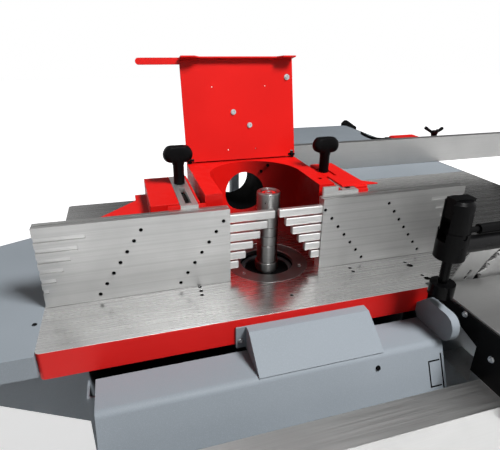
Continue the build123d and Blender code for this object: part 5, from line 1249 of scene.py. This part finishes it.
# %% Handwheels
RIM = [(85 + 9 * math.cos(a), 9 * math.sin(a)) for a in round_turns(20)]
HUB = [(0, -32), (14, -32), (20, -30), (20, -12), (17, -6), (17, 8), (20, 11), (20, 12), (18.5, 13), (6, 13),
       (5, 11), (0, 11)]
AXLE = [(0, -87), (10, -87), (10, -31), (0, -31)]
SPOKE = [(0, 10), (8.5, 10), (6.5, 45), (7.5, 80), (0, 80)]
GRIP = [(0, 0), (6, 0), (6, 7), (8.5, 8), (11, 20), (10.6, 36), (9.2, 46), (11, 55), (9.5, 59), (5, 60),
        (0, 60)]
DIAL = [(21, 0), (66, 0), (66, 1.4), (65.4, 2), (21.6, 2), (21, 1.4)]
WHEEL_Y, WHEEL_Z, GRIP_OUT, MARK_RADIUS, MARK_Y = -237, 440, 85, 60, -207.1
for name, x in (("spindle", 0.0), ("saw", SAW_X)):
    centre = (x, WHEEL_Y, WHEEL_Z)
    rim = turned_mesh(RIM, FRONT, centre, ring=True, steps=96)
    grip = turned_mesh(GRIP, FRONT, (x, WHEEL_Y, WHEEL_Z + GRIP_OUT))
    parts = [(rim, BLACK), (turned_mesh(HUB, FRONT, centre), BLACK),
             (turned_mesh(AXLE, FRONT, centre, steps=40), ZINC), (grip, BLACK)]
    for a in round_turns(3, math.radians(30)):
        parts.append((turned_mesh(SPOKE, (math.cos(a), 0, math.sin(a)), centre, steps=32), BLACK))
    stand_in(assembled(name + "_wheel", *parts), name + "_handwheel")
    dial = turned_mesh(DIAL, FRONT, (x, PANEL_FRONT, WHEEL_Z), ring=True)
    stand_in(assembled(name + "_dial", (dial, ZINC)), body="machine", slot="bright_steel")
    rays_out = [Vector((math.cos(a), 0, math.sin(a))) for a in round_turns(40)]
    spots = [Vector((x, MARK_Y, WHEEL_Z)) + out * MARK_RADIUS for out in rays_out]
    marks = spread_points(name + "_dial_marks", spots, FRONT, rays_out)
    grown(marks, small_blocks, long=0.006, wide=0.0012, tall=0.0006, finish=BLACK)
    stand_in(marks, body="machine", slot="black_plastic")
print("handwheels turned")

# %% [markdown]
# ## Drives
# Under the table the spindle runs in a quill, which slides in a cast guide and carries its motor. Motor
# housings have cooling fins all round, so each is a turned core with one fin repeated about its axis.

# %% Quill and belt
edged("quill_guide", IRON, CAST_EDGE)
quill = painted(rounded(free_copy("quill", "quill_sleeve"), BAR_EDGE), STEEL_X)
# Its top, deep in the table's well, is painted black as painted shade.
repaint(quill, DUCT_BLACK_AND_SHADE, lambda centre, normal: centre.z > 0.8)
stand_in(quill, "quill")
BELT_EDGE = 0.0003
edged("drive_belt", RUBBER, BELT_EDGE)
print("quill's corners in mm:", [[round(v) for v in corner] for corner in corners("quill")])

# %% Motors
FINS, FIN_SUNK = 32, 9


def motor(name, node, axis, place, radius, length, box):
    """A finned motor along an axis from a place, inside the radius of its node."""
    core = radius - FIN_SUNK
    shell = [(0, 0), (radius - 2, 0), (radius, 2), (radius, 26), (radius - 2, 28), (core, 30),
             (core, length - 48), (radius - 2, length - 46), (radius, length - 44), (radius, length - 8),
             (radius - 8, length), (0, length)]
    parts = [(turned_mesh(shell, axis, place), MOTOR_GREY), (block_mesh(*box, 3.0), MOTOR_GREY)]
    stand_in(assembled(name, *parts), node)
    run = Vector(axis)
    first = run.orthogonal().normalized()
    second = run.cross(first)
    outs = [first * math.cos(a) + second * math.sin(a) for a in round_turns(FINS)]
    middle = Vector(place) + run * (length - 18) / 2
    ribs = spread_points(name + "_fins", [middle + out * (core + 3) for out in outs], outs, run)
    grown(ribs, small_blocks, long=(length - 74) / 1000, tall=0.011, wide=0.0026, finish=MOTOR_GREY)
    stand_in(ribs, body=body_of[node], slot="motor_paint")


MOTOR_Y = 190
motor("spindle_drive", "spindle_motor", UP, (0, MOTOR_Y, 566), 80, 204, ((-40, 230, 617), (40, 294, 668)))
saw_low, saw_high = corners("saw_motor")
motor("saw_drive", "saw_motor", BACK, (400, saw_low.y, 655), 70, saw_high.y - saw_low.y,
      ((365, saw_low.y + 50, 722), (435, saw_low.y + 110, saw_high.z)))
print("motor fins:", 2 * FINS)

# %% Sheave and spigot
SHEAVE = pulley(60) + [(22, 545), (22, 548), (12, 549), (12, 749.6), (0, 749.6)]
sheave = turned_mesh(SHEAVE, place=(0, MOTOR_Y, 0), steps=96)
stand_in(assembled("motor_sheave", (sheave, IRON)), "motor_pulley")
SPIGOT = [(47, 0), (50, 0), (50, 20), (49.2, 21), (49.2, 25), (50, 26), (50, 92), (49, 107), (47.6, 107),
          (47, 106)]
spigot = turned_mesh(SPIGOT, BACK, (0, 205, 975), ring=True, steps=96)
stand_in(assembled("hose_spigot", (spigot, DUCT_BLACK_AND_SHADE)), "extraction_spigot")
print("sheave points:", len(SHEAVE))

# %% [markdown]
# ## The visual box
# The box of everything that shows now, backdrop left out, is printed.

# %% Sizes
low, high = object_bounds()
print("visual box", [round(v, 4) for v in low], [round(v, 4) for v in high])
